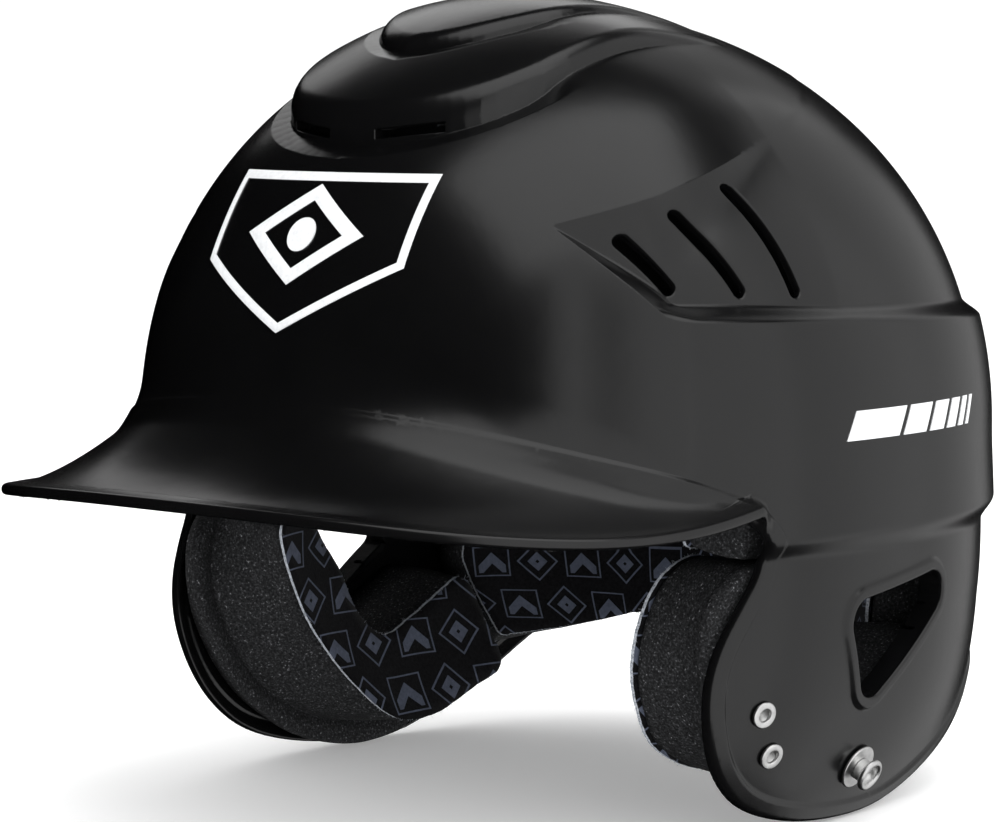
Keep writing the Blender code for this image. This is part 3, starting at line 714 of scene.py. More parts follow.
def surface_of(field, low, high, step, refinements):
    """Vertices, faces and normals of the zero surface of a field that is the same on both sides of x = 0."""
    points, quads, seam = net_surface(field, low, high, step)
    points[seam, 0] = 0
    points, normals = settle(field, points, 1, step / 2)
    points = relax(points, quads, normals)
    points[seam, 0] = 0
    points, normals = settle(field, points, 2, step / 2)
    faces = quads.tolist()
    for least_turn in refinements:
        points, faces, seam = refine(points, faces, normals, seam, least_turn)
        points, normals = settle(field, points, 2, step / 4)
    points, faces = fan(points, faces)
    seam = np.concatenate([seam, np.zeros(len(points) - len(seam), bool)])
    points, normals = settle(field, points, 1, step / 4)
    points[seam, 0] = 0
    normals[seam, 0] = 0
    other = np.where(seam, np.arange(len(points)), np.cumsum(~seam) - 1 + len(points)).tolist()
    flip = np.array((-1, 1, 1))
    points = np.concatenate([points, points[~seam] * flip])
    normals = np.concatenate([normals, normals[~seam] * flip])
    return points, faces + [[other[v] for v in reversed(face)] for face in faces], normals


def mesh_object(name, points, faces, material, normals=None):
    mesh = bpy.data.meshes.new(name)
    mesh.from_pydata((points + CROWN_PLACE).tolist(), [], faces)
    mesh.validate()
    mesh.shade_smooth()
    if normals is not None:
        mesh.normals_split_custom_set_from_vertices(normals.tolist())
    obj = bpy.data.objects.new(name, mesh)
    bpy.context.scene.collection.objects.link(obj)
    mesh.materials.append(material)
    return obj


def make_shell(material):
    low, high = (0, -0.156, -0.103), (0.118, 0.136, 0.124)
    points, faces, normals = surface_of(shell_field, low, high, GRID_STEP, refinements=(14, 14))
    shell = mesh_object("shell_moulding", points, faces, material, normals)
    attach(shell, "root")
    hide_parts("shell")


# ---------------------------------------------------------------- materials

class Nodes:
    """Short hand for building a material's nodes."""

    def __init__(self, name):
        self.material = bpy.data.materials.new(name)
        self.material.use_nodes = True
        self.tree = self.material.node_tree
        self.shader = self.tree.nodes["Principled BSDF"]

    def add(self, kind, **settings):
        node = self.tree.nodes.new(kind)
        for key, value in settings.items():
            setattr(node, key, value)
        return node

    def link(self, source, target):
        self.tree.links.new(source, target)

    def feed(self, source, name):
        self.link(source, self.shader.inputs[name])

    def set(self, **values):
        for key, value in values.items():
            self.shader.inputs[key.replace("_", " ")].default_value = value

    def math(self, operation, a, b=0.0, c=0.0):
        node = self.add("ShaderNodeMath", operation=operation)
        for socket, value in zip(node.inputs, (a, b, c)):
            if isinstance(value, (int, float)):
                socket.default_value = value
            else:
                self.link(value, socket)
        return node.outputs[0]

    def away(self, value, middle):
        return self.math("ABSOLUTE", self.math("SUBTRACT", value, middle))

    def near(self, value, middle, reach):
        return self.math("LESS_THAN", self.away(value, middle), reach)

    def place(self):
        return self.add("ShaderNodeTexCoord").outputs["Object"]

    def noise(self, scale, detail=3.0, roughness=0.5, vector=None):
        node = self.add("ShaderNodeTexNoise")
        node.inputs["Scale"].default_value = scale
        node.inputs["Detail"].default_value = detail
        node.inputs["Roughness"].default_value = roughness
        self.link(vector or self.place(), node.inputs["Vector"])
        return node.outputs["Fac"]

    def ramp(self, factor, *stops):
        node = self.add("ShaderNodeValToRGB")
        ramp = node.color_ramp
        while len(ramp.elements) < len(stops):
            ramp.elements.new(0.5)
        for element, (position, colour) in zip(ramp.elements, stops):
            element.position = position
            element.color = (*colour, 1) if hasattr(colour, "__len__") else (colour, colour, colour, 1)
        self.link(factor, node.inputs["Fac"])
        return node.outputs["Color"]

    def between(self, factor, low, high):
        node = self.add("ShaderNodeMapRange")
        node.inputs["To Min"].default_value = low
        node.inputs["To Max"].default_value = high
        self.link(factor, node.inputs["Value"])
        return node.outputs["Result"]

    def bump(self, height, strength, distance, below=None):
        node = self.add("ShaderNodeBump")
        node.inputs["Strength"].default_value = strength
        node.inputs["Distance"].default_value = distance
        self.link(height, node.inputs["Height"])
        if below is not None:
            self.link(below, node.inputs["Normal"])
        return node.outputs["Normal"]


def shell_plastic():
    """Moulded gloss black plastic: faint orange peel, fine grain and patchy polish."""
    m = Nodes("black_gloss_plastic")
    m.set(Metallic=0.0, IOR=1.50)
    patches = m.noise(18.0, 4.0, 0.6)
    m.feed(m.ramp(patches, (0.3, (0.0018, 0.0018, 0.0020)), (0.7, (0.0030, 0.0030, 0.0032))), "Base Color")
    m.feed(m.between(m.noise(60.0, 6.0, 0.65), 0.19, 0.29), "Roughness")
    peel = m.bump(m.noise(260.0, 2.0, 0.5), 0.05, 0.0004)
    grain = m.bump(m.noise(1800.0, 2.0, 0.6), 0.06, 0.00008, peel)
    m.feed(grain, "Normal")
    return m.material


def foam():
    """Open-cell charcoal foam with a cut surface: dark cells, and a few bright specks that are painted glints
    off the cells.
    """
    m = Nodes("charcoal_foam")
    m.set(Roughness=0.95, Specular_IOR_Level=0.25)
    cells = m.noise(1500.0, 2.0, 0.7)
    # The last stop, at 0.26 grey, is painted glints: bright specks where light catches the cells
    tone = m.ramp(cells, (0.34, (0.0055, 0.0057, 0.0062)), (0.52, (0.016, 0.0165, 0.0175)),
                  (0.66, (0.040, 0.041, 0.044)), (0.74, (0.26, 0.265, 0.28)))
    m.feed(tone, "Base Color")
    slow = m.bump(m.noise(90.0, 3.0, 0.5), 0.25, 0.0012)
    m.feed(m.bump(m.noise(900.0, 3.0, 0.7), 0.7, 0.0005, slow), "Normal")
    return m.material


def printed_cloth():
    """Near-black brushed cloth with a grey-blue print of diamonds and framed chevrons in staggered rows."""
    m = Nodes("printed_cloth")
    m.set(Roughness=0.9, Specular_IOR_Level=0.1, Sheen_Weight=0.04, Sheen_Roughness=0.5)
    split = m.add("ShaderNodeSeparateXYZ")
    m.link(m.add("ShaderNodeTexCoord").outputs["UV"], split.inputs[0])
    along = m.math("DIVIDE", split.outputs["X"], PRINT_TILE)
    up = m.math("DIVIDE", split.outputs["Y"], PRINT_TILE * 0.9)
    row = m.math("FLOOR", up)
    along = m.math("ADD", along, m.math("MULTIPLY", row, 0.5))
    parity = m.math("FLOORED_MODULO", m.math("ADD", m.math("FLOOR", along), row), 2.0)
    fu = m.away(m.math("FRACT", along), 0.5)
    fv_signed = m.math("SUBTRACT", m.math("FRACT", up), 0.5)
    fv = m.math("ABSOLUTE", fv_signed)
    diamond = m.math("ADD", fu, fv)
    diamonds = m.math("MAXIMUM", m.near(diamond, 0.42, 0.026), m.near(diamond, 0.13, 0.085))
    square = m.math("MAXIMUM", fu, m.math("MULTIPLY", fv, 1.15))
    edge_line = m.near(square, 0.38, 0.017)
    stripe = m.near(m.math("ADD", fv_signed, fu), 0.08, 0.13)
    chevron = m.math("MULTIPLY", stripe, m.math("LESS_THAN", square, 0.30))
    frames = m.math("MAXIMUM", edge_line, chevron)
    print_mask = m.math("ADD", m.math("MULTIPLY", frames, parity),
                        m.math("MULTIPLY", diamonds, m.math("SUBTRACT", 1.0, parity)))
    worn = m.between(m.noise(700.0, 3.0, 0.7), 0.35, 1.1)
    mix = m.add("ShaderNodeMix", data_type="RGBA")
    m.link(m.math("MULTIPLY", print_mask, worn), mix.inputs["Factor"])
    ground = m.ramp(m.noise(1200.0, 3.0, 0.7), (0.35, (0.002, 0.002, 0.0025)), (0.7, (0.008, 0.008, 0.009)))
    m.link(ground, mix.inputs["A"])
    mix.inputs["B"].default_value = (0.105, 0.120, 0.165, 1)
    m.feed(mix.outputs["Result"], "Base Color")
    m.feed(m.bump(m.noise(2200.0, 2.0, 0.6), 0.5, 0.0002), "Normal")
    return m.material


def pale_thread():
    """Whitish frayed yarn at the cut edges of the cloth."""
    m = Nodes("pale_thread")
    m.set(Roughness=0.85, Specular_IOR_Level=0.2)
    tone = m.ramp(m.noise(1500.0, 3.0, 0.7), (0.3, (0.10, 0.11, 0.13)), (0.6, (0.50, 0.53, 0.58)))
    m.feed(tone, "Base Color")
    m.feed(m.bump(m.noise(3000.0, 2.0, 0.6), 0.6, 0.0001), "Normal")
    return m.material


def nickel_plate():
    """Nickel plating with soft wear and fine turning marks."""
    m = Nodes("nickel_plate")
    m.set(Metallic=1.0)
    m.feed(m.ramp(m.noise(300.0, 4.0, 0.6), (0.3, (0.66, 0.66, 0.66)), (0.7, (0.88, 0.88, 0.87))), "Base Color")
    m.feed(m.between(m.noise(900.0, 4.0, 0.7), 0.22, 0.48), "Roughness")
    m.feed(m.bump(m.noise(2500.0, 2.0, 0.6), 0.25, 0.00005), "Normal")
    return m.material


def white_print():
    """Off-white ink with a slight speckle."""
    m = Nodes("white_print")
    m.set(Specular_IOR_Level=0.35)
    tone = m.ramp(m.noise(900.0, 4.0, 0.65), (0.3, (0.62, 0.63, 0.64)), (0.6, (0.72, 0.73, 0.74)))
    m.feed(tone, "Base Color")
    m.feed(m.between(m.noise(400.0, 3.0, 0.6), 0.35, 0.55), "Roughness")
    m.feed(m.bump(m.noise(1500.0, 2.0, 0.5), 0.15, 0.00006), "Normal")
    return m.material


# ---------------------------------------------------------------- pads and facings

def closed_round(points, rounds=3):
    """A closed row of points, given one after another, with its corners cut."""
    points = np.array(points, float)
    for _ in range(rounds):
        ahead = np.roll(points, -1, axis=0)
        pairs = np.stack([0.75 * points + 0.25 * ahead, 0.25 * points + 0.75 * ahead], 1)
        points = pairs.reshape(-1, points.shape[1])
    return points


def outward(loop):
    """Outward unit normals of a closed loop that runs counter-clockwise."""
    turn = np.roll(loop, -1, axis=0) - np.roll(loop, 1, axis=0)
    normal = np.stack([turn[:, 1], -turn[:, 0]], 1)
    return normal / np.maximum(np.linalg.norm(normal, axis=1), 1e-12)[:, None]


def loop_area(loop):
    """Signed area of a closed loop, positive where it runs counter-clockwise."""
    ahead = np.roll(loop, -1, axis=0)
    return float((loop[:, 0] * ahead[:, 1] - loop[:, 1] * ahead[:, 0]).sum() / 2)


def filled(loop, spacing):
    """Triangles over a closed loop: its own points first, then a grid of points inside it."""
    low, high = loop.min(0), loop.max(0)
    columns, rows = np.arange(low[0], high[0], spacing), np.arange(low[1], high[1], spacing * 0.87)
    u, v = np.meshgrid(columns, rows, indexing="ij")
    u = u + (np.arange(v.shape[1]) % 2) * spacing / 2
    u, v = u.ravel(), v.ravel()
    inside = polygon_distance(loop.tolist(), u, v) < -spacing * 0.6
    points = np.concatenate([loop, np.stack([u[inside], v[inside]], 1)])
    edges = [(i, (i + 1) % len(loop)) for i in range(len(loop))]
    found = delaunay_2d_cdt([Vector(p) for p in points.tolist()], edges, [], 1, 1e-7)
    return np.array([p[:] for p in found[0]]), [tuple(face) for face in found[2]]


def meeting(distance, level, inner, outer, count, rounds=26):
    """Where each of a number of lines, from an inner to an outer value, comes to a level of a distance."""
    inner, outer = np.full(count, inner), np.full(count, outer)
    for _ in range(rounds):
        middle = (inner + outer) / 2
        outside = distance(middle) > level
        inner, outer = np.where(outside, inner, middle), np.where(outside, middle, outer)
    return (inner + outer) / 2


def flap_place(side):
    """Places (y, z, depth) under the wall of a flap, straight in from the side."""
    def place(flat, depth):
        y, z = flat.T
        x = meeting(lambda x: crown_distance(x, y, z), -(PAD_START + depth), 0.010, 0.120, len(flat))
        return np.stack([side * x, y, z], 1)
    return place


def wall_points(angle, z):
    """Points of the smooth outer surface at angles and heights."""
    scale = section_scale(z)
    reach = np.where(np.cos(angle) > 0, FRONT_REACH, back_reach(z))
    sine, cosine = np.sin(angle), np.cos(angle)
    x = HALF_WIDTH * scale * np.sign(sine) * np.abs(sine) ** (2 / PLAN_POWER)
    y = -reach * scale * np.sign(cosine) * np.abs(cosine) ** (2 / PLAN_POWER)
    return np.stack([x, y, z], 1)


def band_place(flat, depth):
    """Places (turn, z, depth) under the wall along its normal; turn is an angle times BAND_RADIUS."""
    points = wall_points(flat[:, 0] / BAND_RADIUS, flat[:, 1])
    slope = field_gradient(crown_distance, points)
    return points - slope / np.linalg.norm(slope, axis=1)[:, None] * (PAD_START + depth)[:, None]


def crown_place(flat, depth):
    """Places (x, y, depth) under the top of the crown."""
    x, y = flat.T
    z = meeting(lambda z: crown_distance(x, y, z), -(PAD_START + depth), 0.030, 0.120, len(flat))
    return np.stack([x, y, z], 1)


def uneven(points, size, scale, seed):
    """Moves points by a smooth noise of a size in metres; scale is its waves to a metre, roughly."""
    shift = Vector((seed, 2.0 * seed, 3.0 * seed))
    return points + np.array([noise.noise_vector(Vector(p) * scale + shift)[:] for p in points.tolist()]) * size


def ring_faces(rows, count, closed=False):
    """Quads between rows of points round a piece; where closed, the last row joins the first."""
    faces = []
    for row in range(rows if closed else rows - 1):
        after = (row + 1) % rows
        for i in range(count):
            j = (i + 1) % count
            faces.append([row * count + i, row * count + j, after * count + j, after * count + i])
    return faces


def pad_block(name, foot, face, rings, place, material, skirt=None):
    """A foam block between a foot loop at the wall and a face loop.

    Each ring is (share of the way to the face, share of the skirt, inset, depth, dip at the skirt).
    """
    count = len(foot)
    skirt = np.zeros(count) if skirt is None else skirt
    layers, depths = [], []
    for share, wide, inset, depth, dip in rings:
        loop = foot + (face - foot) * share
        layers.append(loop + outward(loop) * (wide * skirt - inset)[:, None])
        depths.append(depth - dip * skirt)
    points = [place(layer, depth) for layer, depth in zip(layers, depths)]
    faces = ring_faces(len(rings), count)
    for ring, flip in ((0, True), (len(rings) - 1, False)):
        flat, triangles = filled(layers[ring], PAD_GRID)
        start = sum(len(p) for p in points) - count
        inner = place(flat[count:], np.full(len(flat) - count, depths[ring].mean()))
        points.append(inner)
        number = list(range(ring * count, ring * count + count))
        number += range(start + count, start + count + len(inner))
        for triangle in triangles:
            corners = [number[v] for v in triangle]
            faces.append(corners[::-1] if flip else corners)
    points = uneven(np.concatenate(points), *FOAM_WAVE)
    return face_out(mesh_object(name, points, faces, material))


def face_out(obj):
    """Turns every face outwards."""
    work = bmesh.new()
    work.from_mesh(obj.data)
    bmesh.ops.recalc_face_normals(work, faces=work.faces)
    work.to_mesh(obj.data)
    work.free()
    return obj


def facing_sheet(name, face, place, depth, materials, seed):
    """Cloth over a pad's face with a pale cut edge: two layers of triangles and a strip between their edges."""
    random = np.random.default_rng(seed)
    count = len(face)
    ragged = face + outward(face) * (0.0003 + 0.00006 * random.standard_normal(count))[:, None]
    flat, triangles = filled(ragged, FACING_GRID)
    layers = []
    for deep in (depth + FACING_GAP, depth + FACING_GAP + FACING_THICKNESS):
        spread = place(flat, np.full(len(flat), deep))
        layers.append(uneven(spread, *FOAM_WAVE))
    total = len(flat)
    faces = [tuple(t[::-1]) for t in triangles] + [tuple(v + total for v in t) for t in triangles]
    rim = [(i, (i + 1) % count, (i + 1) % count + total, i + total) for i in range(count)]
    cloth = mesh_object(name, np.concatenate(layers), [list(f) for f in faces + rim], materials[0])
    cloth.data.materials.append(materials[1])
    uv = cloth.data.uv_layers.new(name="cut")
    both = np.concatenate([flat, flat])
    for loop in cloth.data.loops:
        uv.data[loop.index].uv = both[loop.vertex_index]
    for polygon in cloth.data.polygons:
        if len(polygon.vertices) == 4:
            polygon.material_index = 1
            polygon.use_smooth = False
    face_out(cloth)
    threads = fringe(name + "_fringe", ragged, place, depth, materials[1], random)
    return cloth, threads


def fringe(name, flat, place, depth, material, random):
    """Short frayed yarns round the edge of a facing."""
    out = outward(flat)
    points, faces = [], []
    for i in range(len(flat)):
        for _ in range(YARNS_PER_EDGE):
            share, length = random.random(), 0.0003 + 0.0009 * random.random() ** 3
            j = (i + 1) % len(flat)
            root_flat = flat[i] * (1 - share) + flat[j] * share
            lean = out[i] + 0.7 * random.standard_normal(2)
            lean /= max(np.linalg.norm(lean), 1e-6)
            tip_flat = root_flat + lean * length
            rows = np.array([root_flat - out[i] * 0.0003, tip_flat])
            deep = depth + FACING_GAP + FACING_THICKNESS * random.random()
            root, tip = place(rows, np.array([deep, deep + 0.0006 * (random.random() - 0.3)]))
            along = Vector(tip - root).normalized()
            side = along.orthogonal().normalized() * THREAD_RADIUS
            other = along.cross(side)
            start = len(points)
            for base, width in ((Vector(root), 1.0), (Vector(tip), 0.45)):
                for turn in range(3):
                    angle = turn * math.tau / 3
                    points.append(base + (side * math.cos(angle) + other * math.sin(angle)) * width)
            for turn in range(3):
                after = (turn + 1) % 3
                faces.append([start + turn, start + after, start + 3 + after, start + 3 + turn])
            faces.append([start + 3, start + 4, start + 5])
            faces.append([start + 2, start + 1, start])
    points = uneven(np.array([p[:] for p in points]), *FOAM_WAVE)
    return mesh_object(name, points, faces, material)


def laid_length(place, depth, start, end):
    """Length over the foam of a line that is straight in the layout."""
    line = np.linspace(start, end, 60)
    return float(np.linalg.norm(np.diff(place(line, np.full(60, depth)), axis=0), axis=1).sum())


def padded_pair(name, foot, face, rings, place, thickness, seed, skirt=None):
    """A foam pad and its facing, in place of the two CAD nodes of that name."""
    if loop_area(face) < 0:
        foot, face = foot[::-1], face[::-1]
    pad = pad_block(name + "_foam", foot, face, rings, place, foam_material, skirt)
    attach(pad, "root")
    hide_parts(name + "_pad")
    materials = (cloth_material, thread_material)
    cloth, threads = facing_sheet(name + "_cloth", face, place, thickness, materials, seed)
    for piece in (cloth, threads):
        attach(piece, "root")
    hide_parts(name + "_facing")
    low, high = face.min(0), face.max(0)
    middle = (low + high) / 2
    width = laid_length(place, thickness, (low[0], middle[1]), (high[0], middle[1]))
    length = laid_length(place, thickness, (middle[0], low[1]), (middle[0], high[1]))
    area = loop_area(face) * width * length / ((high[0] - low[0]) * (high[1] - low[1]))


def block_rings(thickness):
    """Side profile of a plain foam block with soft corners."""
    return [
        (0.0, 0.0, 0.0030, 0.0, 0.0), (0.0, 0.0, 0.0010, 0.0002, 0.0), (0.0, 0.0, 0.0, 0.0012, 0.0),
        (0.3, 0.0, -0.0006, thickness * 0.35, 0.0), (0.7, 0.0, -0.0006, thickness * 0.7, 0.0),
        (1.0, 0.0, -0.0002, thickness - 0.0016, 0.0), (1.0, 0.0, 0.0004, thickness - 0.0005, 0.0),
        (1.0, 0.0, 0.0014, thickness, 0.0),
    ]


def ear_rings(thickness):
    """Side profile of an ear pad: a thin skirt along the rim, a groove, then the slanted side."""
    return [
        (0.0, 0.0050, 0.0010, -0.0022, 0.0), (0.0, 0.0064, 0.0, -0.0018, 0.0), (0.0, 0.0068, 0.0, 0.0006, 0.0),
        (0.0, 0.0062, 0.0, 0.0024, 0.0), (0.0, 0.0048, 0.0, 0.0032, 0.0), (0.0, 0.0008, 0.0, 0.0044, 0.0),
        (0.0, 0.0002, 0.0, 0.0052, 0.0018), (0.02, 0.0, 0.0, 0.0058, 0.0),
        (0.25, 0.0, -0.0003, thickness * 0.36, 0.0), (0.6, 0.0, -0.0004, thickness * 0.64, 0.0),
        (0.92, 0.0, -0.0002, thickness * 0.92, 0.0), (1.0, 0.0, 0.0001, thickness - 0.0008, 0.0),
        (1.0, 0.0, 0.0012, thickness, 0.0),
    ]


def make_ear_pads():
    foot = closed_round(EAR_FOOT)
    first, last = EAR_SKIRT
    weight = [(1.0 if first <= i <= last else 0.0, 0.0) for i in range(len(EAR_FOOT))]
    skirt = np.clip(closed_round(weight)[:, 0], 0, 1)
    for number, (side_name, side) in enumerate(SIDES):
        face = closed_round(EAR_FACES[side_name] + EAR_FACE_REST)
        padded_pair(side_name + "_ear", foot, face, ear_rings(EAR_PAD_THICKNESS), flap_place(side),
                    EAR_PAD_THICKNESS, 11 + number, skirt)


def along_side(start, end, count):
    """A number of even points along a side, without its end."""
    (au, av), (bu, bv) = start, end
    return [(au + (bu - au) * k / count, av + (bv - av) * k / count) for k in range(count)]


def rounded_box(low, high, across=20, up=14):
    """A counter-clockwise loop round a box, with a number of points across and up it before it is rounded."""
    (u0, v0), (u1, v1) = low, high
    corners = [(u0, v0), (u1, v0), (u1, v1), (u0, v1)]
    loop = []
    for start, end, count in zip(corners, corners[1:] + corners[:1], (across, up, across, up)):
        loop += along_side(start, end, count)
    return closed_round(loop, 2)


def make_side_pads():
    face = rounded_box((-0.0360, -0.0235), (0.0330, 0.0270))
    foot = rounded_box((-0.0380, -0.0250), (0.0390, 0.0300))
    for number, (side_name, side) in enumerate(SIDES):
        padded_pair(side_name + "_side", foot, face, block_rings(BAND_PAD_THICKNESS), flap_place(side),
                    BAND_PAD_THICKNESS, 21 + number)


def rear_turn(y, z):
    """The turn at which a rear facing's point has this y."""
    angles = np.linspace(math.radians(92), math.pi, 120)
    spots = band_place(np.stack([angles * BAND_RADIUS, np.full(len(angles), z)], 1),
                       np.full(len(angles), BAND_PAD_THICKNESS))
    return float(np.interp(y, spots[:, 1], angles)) * BAND_RADIUS


def make_rear_pad():
    half = [(rear_turn(y, z), z) for y, z in REAR_FACE]
    middle = math.pi * BAND_RADIUS
    ring = half + [(2 * middle - u, z) for u, z in reversed(half)]
    dense = []
    for start, end in zip(ring, ring[1:] + ring[:1]):
        dense += along_side(start, end, max(1, round(math.dist(start, end) / 0.004)))
    face = closed_round(dense, 2)
    foot = face + outward(face) * np.array((0.002, 0.0005))
    padded_pair("rear", foot, face, block_rings(BAND_PAD_THICKNESS), band_place, BAND_PAD_THICKNESS, 31)


def make_brow_pad():
    wide = math.radians(54) * BAND_RADIUS
    face = rounded_box((-wide + 0.003, 0.0160), (wide - 0.003, 0.0480))
    foot = face + outward(face) * 0.002
    padded_pair("brow", foot, face, block_rings(BAND_PAD_THICKNESS), band_place, BAND_PAD_THICKNESS, 41)


def make_crown_pad():
    turns = np.linspace(0, math.tau, 120, endpoint=False)
    ring = np.stack([np.cos(turns), np.sin(turns)], 1)
    face = ring * CROWN_PAD_FACE
    foot = ring * CROWN_PAD_RADIUS
    padded_pair("crown", foot, face, block_rings(CROWN_PAD_THICKNESS), crown_place, CROWN_PAD_THICKNESS, 51)


# ---------------------------------------------------------------- hardware

def turned(name, profile, matrix, material, node, segments=64):
    """A round piece turned from (radius, height) points round the Z axis of its place."""
    rows = np.array(profile)
    turns = np.linspace(0, math.tau, segments, endpoint=False)
    points = np.stack([np.outer(rows[:, 0], np.cos(turns)), np.outer(rows[:, 0], np.sin(turns)),
                       np.repeat(rows[:, 1:2], segments, 1)], 2).reshape(-1, 3)
    points = points @ np.array(matrix.to_3x3()).T + np.array(matrix.translation)
    hollow = profile[0][0] > 0 and profile[-1][0] > 0
    obj = mesh_object(name, points, ring_faces(len(rows), segments, closed=hollow), material)
    work = bmesh.new()
    work.from_mesh(obj.data)
    bmesh.ops.remove_doubles(work, verts=work.verts, dist=0.000005)
    bmesh.ops.recalc_face_normals(work, faces=work.faces)
    work.to_mesh(obj.data)
    work.free()
    obj.data.set_sharp_from_angle(angle=math.radians(50))
    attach(obj, "root")
    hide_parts(node)
    return obj


def arc(centre, radius, start, end, steps):
    """Points (radius, height) along an arc, its angles in degrees."""
    angles = [math.radians(start + (end - start) * k / steps) for k in range(steps + 1)]
    return [(centre[0] + radius * math.cos(angle), centre[1] + radius * math.sin(angle)) for angle in angles]


def flap_matrix(y, z, side):
    place, normal = side_point(y, z)
    place.x *= side
    normal.x *= side
    return Matrix.Translation(place) @ normal.to_track_quat("Z", "Y").to_matrix().to_4x4()


def insert_profile():
    """A flange with a round edge on a barrel whose bore has thread ridges."""
    flange = arc((0.0021, 0.00075), 0.00035, 180, 90, 4) + arc((0.0031, 0.00065), 0.00045, 90, -90, 8)
    barrel = [(0.0025, 0.0002), (0.0025, -0.0036), (0.0021, -0.0040)]
    thread = []
    for turn in range(8):
        low = -0.0038 + turn * 0.00055
        thread += [(0.0020, low), (0.00205, low + 0.0001), (0.00172, low + 0.00028), (0.00172, low + 0.00034)]
    return flange + barrel + thread


def make_hardware():
    flange = [(0.0024, 0.0004), (0.0024, 0.0013), (0.0031, 0.0014), (0.0046, 0.0013), (0.0056, 0.0011)]
    flange += arc((0.0057, 0.0007), 0.00042, 80, -60, 6)
    stud = arc((0.0036, 0.0048), 0.00085, 180, -100, 14)
    stud += [(0.0030, 0.0034), (0.0030, 0.0015), (0.0017, 0.0015), (0.0017, 0.0030), (0.0024, 0.0038)]
    rivet = [(0.0, 0.0034)] + arc((0.0008, 0.0028), 0.0006, 90, 0, 5) + [(0.0014, -0.0033), (0.0030, -0.0034)]
    rivet += arc((0.0031, -0.0038), 0.0004, 90, -60, 5) + [(0.0018, -0.0045), (0.0, -0.0047)]
    for side_name, side in SIDES:
        for place_name, (y, z) in INSERT_PLACES.items():
            node = f"{side_name}_{place_name}_insert"
            turned(node + "_metal", insert_profile(), flap_matrix(y, z, side), metal_material, node)
        matrix = flap_matrix(*SNAP_PLACE, side)
        for part_name, profile in (("flange", flange), ("stud", stud), ("rivet", rivet)):
            node = f"{side_name}_snap_{part_name}"
            turned(node + "_metal", profile, matrix, metal_material, node)


# ---------------------------------------------------------------- badge and side marks

def on_forehead(flat, out):
    """Places (x, z) on the front of the crown, out by a height."""
    x, z = flat.T
    y = meeting(lambda y: crown_distance(x, y, z), out, -0.005, -0.140, len(flat), rounds=28)
    return np.stack([x, y, z], 1)


def on_flank(side):
    """Places (y, z) on the raised band of a side, out by a height."""
    def place(flat, out):
        y, z = flat.T
        x = meeting(lambda x: crown_distance(x, y, z) - side_relief(x, y, z), out, 0.050, 0.140, len(flat),
                    rounds=28)
        return np.stack([side * x, y, z], 1)
    return place


def dense_loop(corners, step, shown=None):
    """Points along a polygon's sides, or along a matching polygon shown in its place."""
    shown = shown or corners
    loop = []
    for i in range(len(corners)):
        j = (i + 1) % len(corners)
        count = max(2, round(math.dist(corners[i], corners[j]) / step))
        loop += along_side(shown[i], shown[j], count)
    return np.array(loop)


def inset_polygon(corners, inset):
    """A polygon with each side moved in by a distance; its corners run counter-clockwise."""
    moved = []
    count = len(corners)
    for i in range(count):
        before, here, after = (Vector(corners[k % count]) for k in (i - 1, i, i + 1))
        first = (here - before).normalized()
        second = (after - here).normalized()
        inward = Vector((-first.y, first.x)) + Vector((-second.y, second.x))
        moved.append(tuple(here + inward * (inset / (1 + first.dot(second)))))
    return moved


def raised_band(corners, width, place):
    """Points and faces of a thin raised band along the inside of a polygon."""
    outer = dense_loop(corners, INK_STEP)
    inner = dense_loop(corners, INK_STEP, inset_polygon(corners, width))
    count = len(outer)
    soft = (outer - inner) * 0.10
    rows = [(outer, INK_FOOT), (outer, INK_TOP * 0.6), (outer - soft, INK_TOP), (inner + soft, INK_TOP),
            (inner, INK_TOP * 0.6), (inner, INK_FOOT)]
    points = np.concatenate([place(loop, height) for loop, height in rows])
    return points, ring_faces(len(rows), count, closed=True)


def raised_patch(loop, place):
    """Points and faces of a thin raised shape inside a loop."""
    flat, triangles = filled(loop, 0.0014)
    count, total = len(loop), len(flat)
    points = np.concatenate([place(flat, INK_FOOT), place(flat, INK_TOP)])
    faces = [list(t[::-1]) for t in triangles] + [[v + total for v in t] for t in triangles]
    faces += [[i, (i + 1) % count, (i + 1) % count + total, i + total] for i in range(count)]
    return points, faces


def mark_object(name, shapes, node):
    points, faces, start = [], [], 0
    for shape_points, shape_faces in shapes:
        faces += [[v + start for v in face] for face in shape_faces]
        points.append(shape_points)
        start += len(shape_points)
    mark = face_out(mesh_object(name, np.concatenate(points), faces, ink_material))
    mark.data.set_sharp_from_angle(angle=math.radians(35))
    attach(mark, "root")
    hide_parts(node)


def make_badge():
    """A home-plate outline round a base diamond with a ball in the middle."""
    plate = [(-BADGE_HALF_WIDTH, BADGE_SHOULDER), (0.0, BADGE_POINT), (BADGE_HALF_WIDTH, BADGE_SHOULDER),
             (BADGE_HALF_WIDTH, BADGE_TOP), (-BADGE_HALF_WIDTH, BADGE_TOP)]
    diamond = [(-0.0200, 0.0555), (0.0, 0.0430), (0.0200, 0.0555), (0.0, 0.0680)]
    shapes = [raised_band(plate, 0.0022, on_forehead), raised_band(diamond, 0.0034, on_forehead)]
    turns = np.linspace(0, math.tau, 40, endpoint=False)
    ball = np.stack([0.0045 * np.cos(turns), 0.0555 + 0.0042 * np.sin(turns)], 1)
    shapes.append(raised_patch(ball, on_forehead))
    mark_object("front_badge_ink", shapes, "front_badge")


def make_side_marks():
    """A row of slanted bars that get shorter towards the back."""
    for side_name, side in SIDES:
        place = on_flank(side)
        shapes = []
        start = MARK_START
        for width in MARK_WIDTHS:
            corners = [(start, MARK_LOW), (start + width, MARK_LOW), (start + width + MARK_SLANT, MARK_HIGH),
                       (start + MARK_SLANT, MARK_HIGH)]
            shapes.append(raised_patch(dense_loop(corners, 0.0010), place))
            start += width + MARK_GAP
        mark_object(side_name + "_side_mark", shapes, side_name + "_decal")


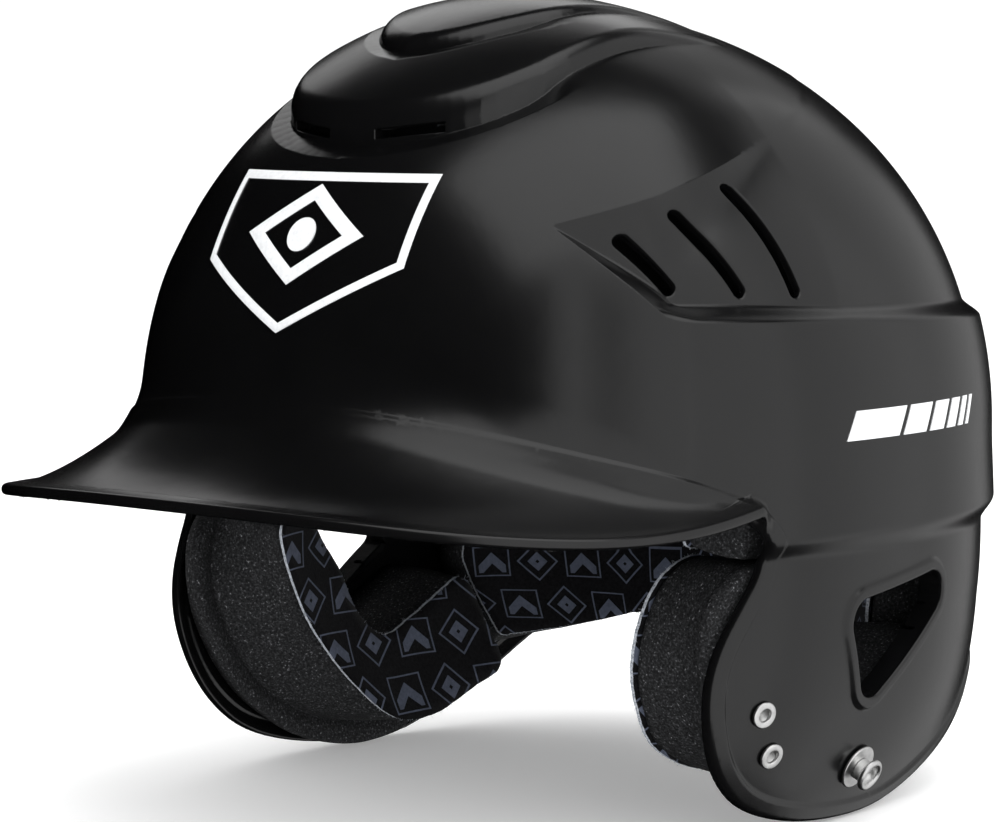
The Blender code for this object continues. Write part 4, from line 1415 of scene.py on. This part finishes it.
# ---------------------------------------------------------------- studio

def set_up(name, data, azimuth, elevation, distance, target):
    """Stands a light or camera off a target and faces it; azimuth 0 is in front and 90 on the wearer's left."""
    a, e = math.radians(azimuth), math.radians(elevation)
    back = Vector((math.sin(a) * math.cos(e), -math.cos(a) * math.cos(e), math.sin(e)))
    obj = bpy.data.objects.new(name, data)
    obj.location = Vector(target) + back * distance
    obj.rotation_mode = "QUATERNION"
    obj.rotation_quaternion = back.to_track_quat("Z", "Y")
    bpy.context.scene.collection.objects.link(obj)
    return obj


def softbox(name, azimuth, elevation, distance, width, height, radiance):
    """An area light of even radiance."""
    light = bpy.data.lights.new(name, "AREA")
    light.shape = "RECTANGLE"
    light.size, light.size_y = width, height
    light.energy = radiance * math.pi * width * height
    set_up(name, light, azimuth, elevation, distance, LIGHT_TARGET)


def make_stage():
    floor_mesh = bmesh.new()
    bmesh.ops.create_circle(floor_mesh, cap_ends=True, segments=96, radius=30)
    mesh = bpy.data.meshes.new("floor")
    floor_mesh.to_mesh(mesh)
    floor_mesh.free()
    floor = bpy.data.objects.new("floor", mesh)
    floor.location.z = -0.0004
    bpy.context.scene.collection.objects.link(floor)
    m = Nodes("glowing_pale_floor")
    # The floor glows: its emission is painted light that lightens the helmet's shadow on it and lights the pads
    # from below
    m.set(Roughness=0.95, Specular_IOR_Level=0.0, Emission_Color=(1, 1, 1, 1), Emission_Strength=0.25)
    m.feed(m.ramp(m.noise(6.0, 3.0, 0.5), (0.3, 0.91), (0.7, 0.93)), "Base Color")
    mesh.materials.append(m.material)
    floor.visible_glossy = False
    floor.visible_shadow = False
    world = bpy.data.worlds.new("studio")
    world.use_nodes = True
    world.node_tree.nodes["Background"].inputs["Color"].default_value = (1, 1, 1, 1)
    world.node_tree.nodes["Background"].inputs["Strength"].default_value = 1.1
    world.cycles_visibility.glossy = False
    bpy.context.scene.world = world
    bpy.context.scene.view_settings.view_transform = "Standard"


def make_lights():
    """A row of tall boxes along the wearer's left, and smaller ones over the top, the back and the brim."""
    for number, (azimuth, radiance) in enumerate(SIDE_BOXES):
        softbox(f"side_box_{number}", azimuth, 0, 1.6, 1.06, 3.2, radiance)
    softbox("top_box", 70, 70, 1.3, 1.5, 1.1, 1.6)
    softbox("back_box", -150, 40, 1.6, 1.3, 0.8, 0.35)
    softbox("brim_box", -130, 32, 1.6, 1.1, 0.55, 0.85)


def make_camera():
    camera = bpy.data.cameras.new("camera")
    camera.lens = CAMERA_LENS
    camera.sensor_width = 36
    bpy.context.scene.camera = set_up("camera", camera, *CAMERA_ANGLES, CAMERA_DISTANCE, CAMERA_TARGET)


foam_material = foam()
cloth_material = printed_cloth()
thread_material = pale_thread()
metal_material = nickel_plate()
ink_material = white_print()
make_camera()
make_stage()
make_lights()
make_shell(shell_plastic())
make_ear_pads()
make_side_pads()
make_rear_pad()
make_brow_pad()
make_crown_pad()
make_hardware()
make_badge()
make_side_marks()
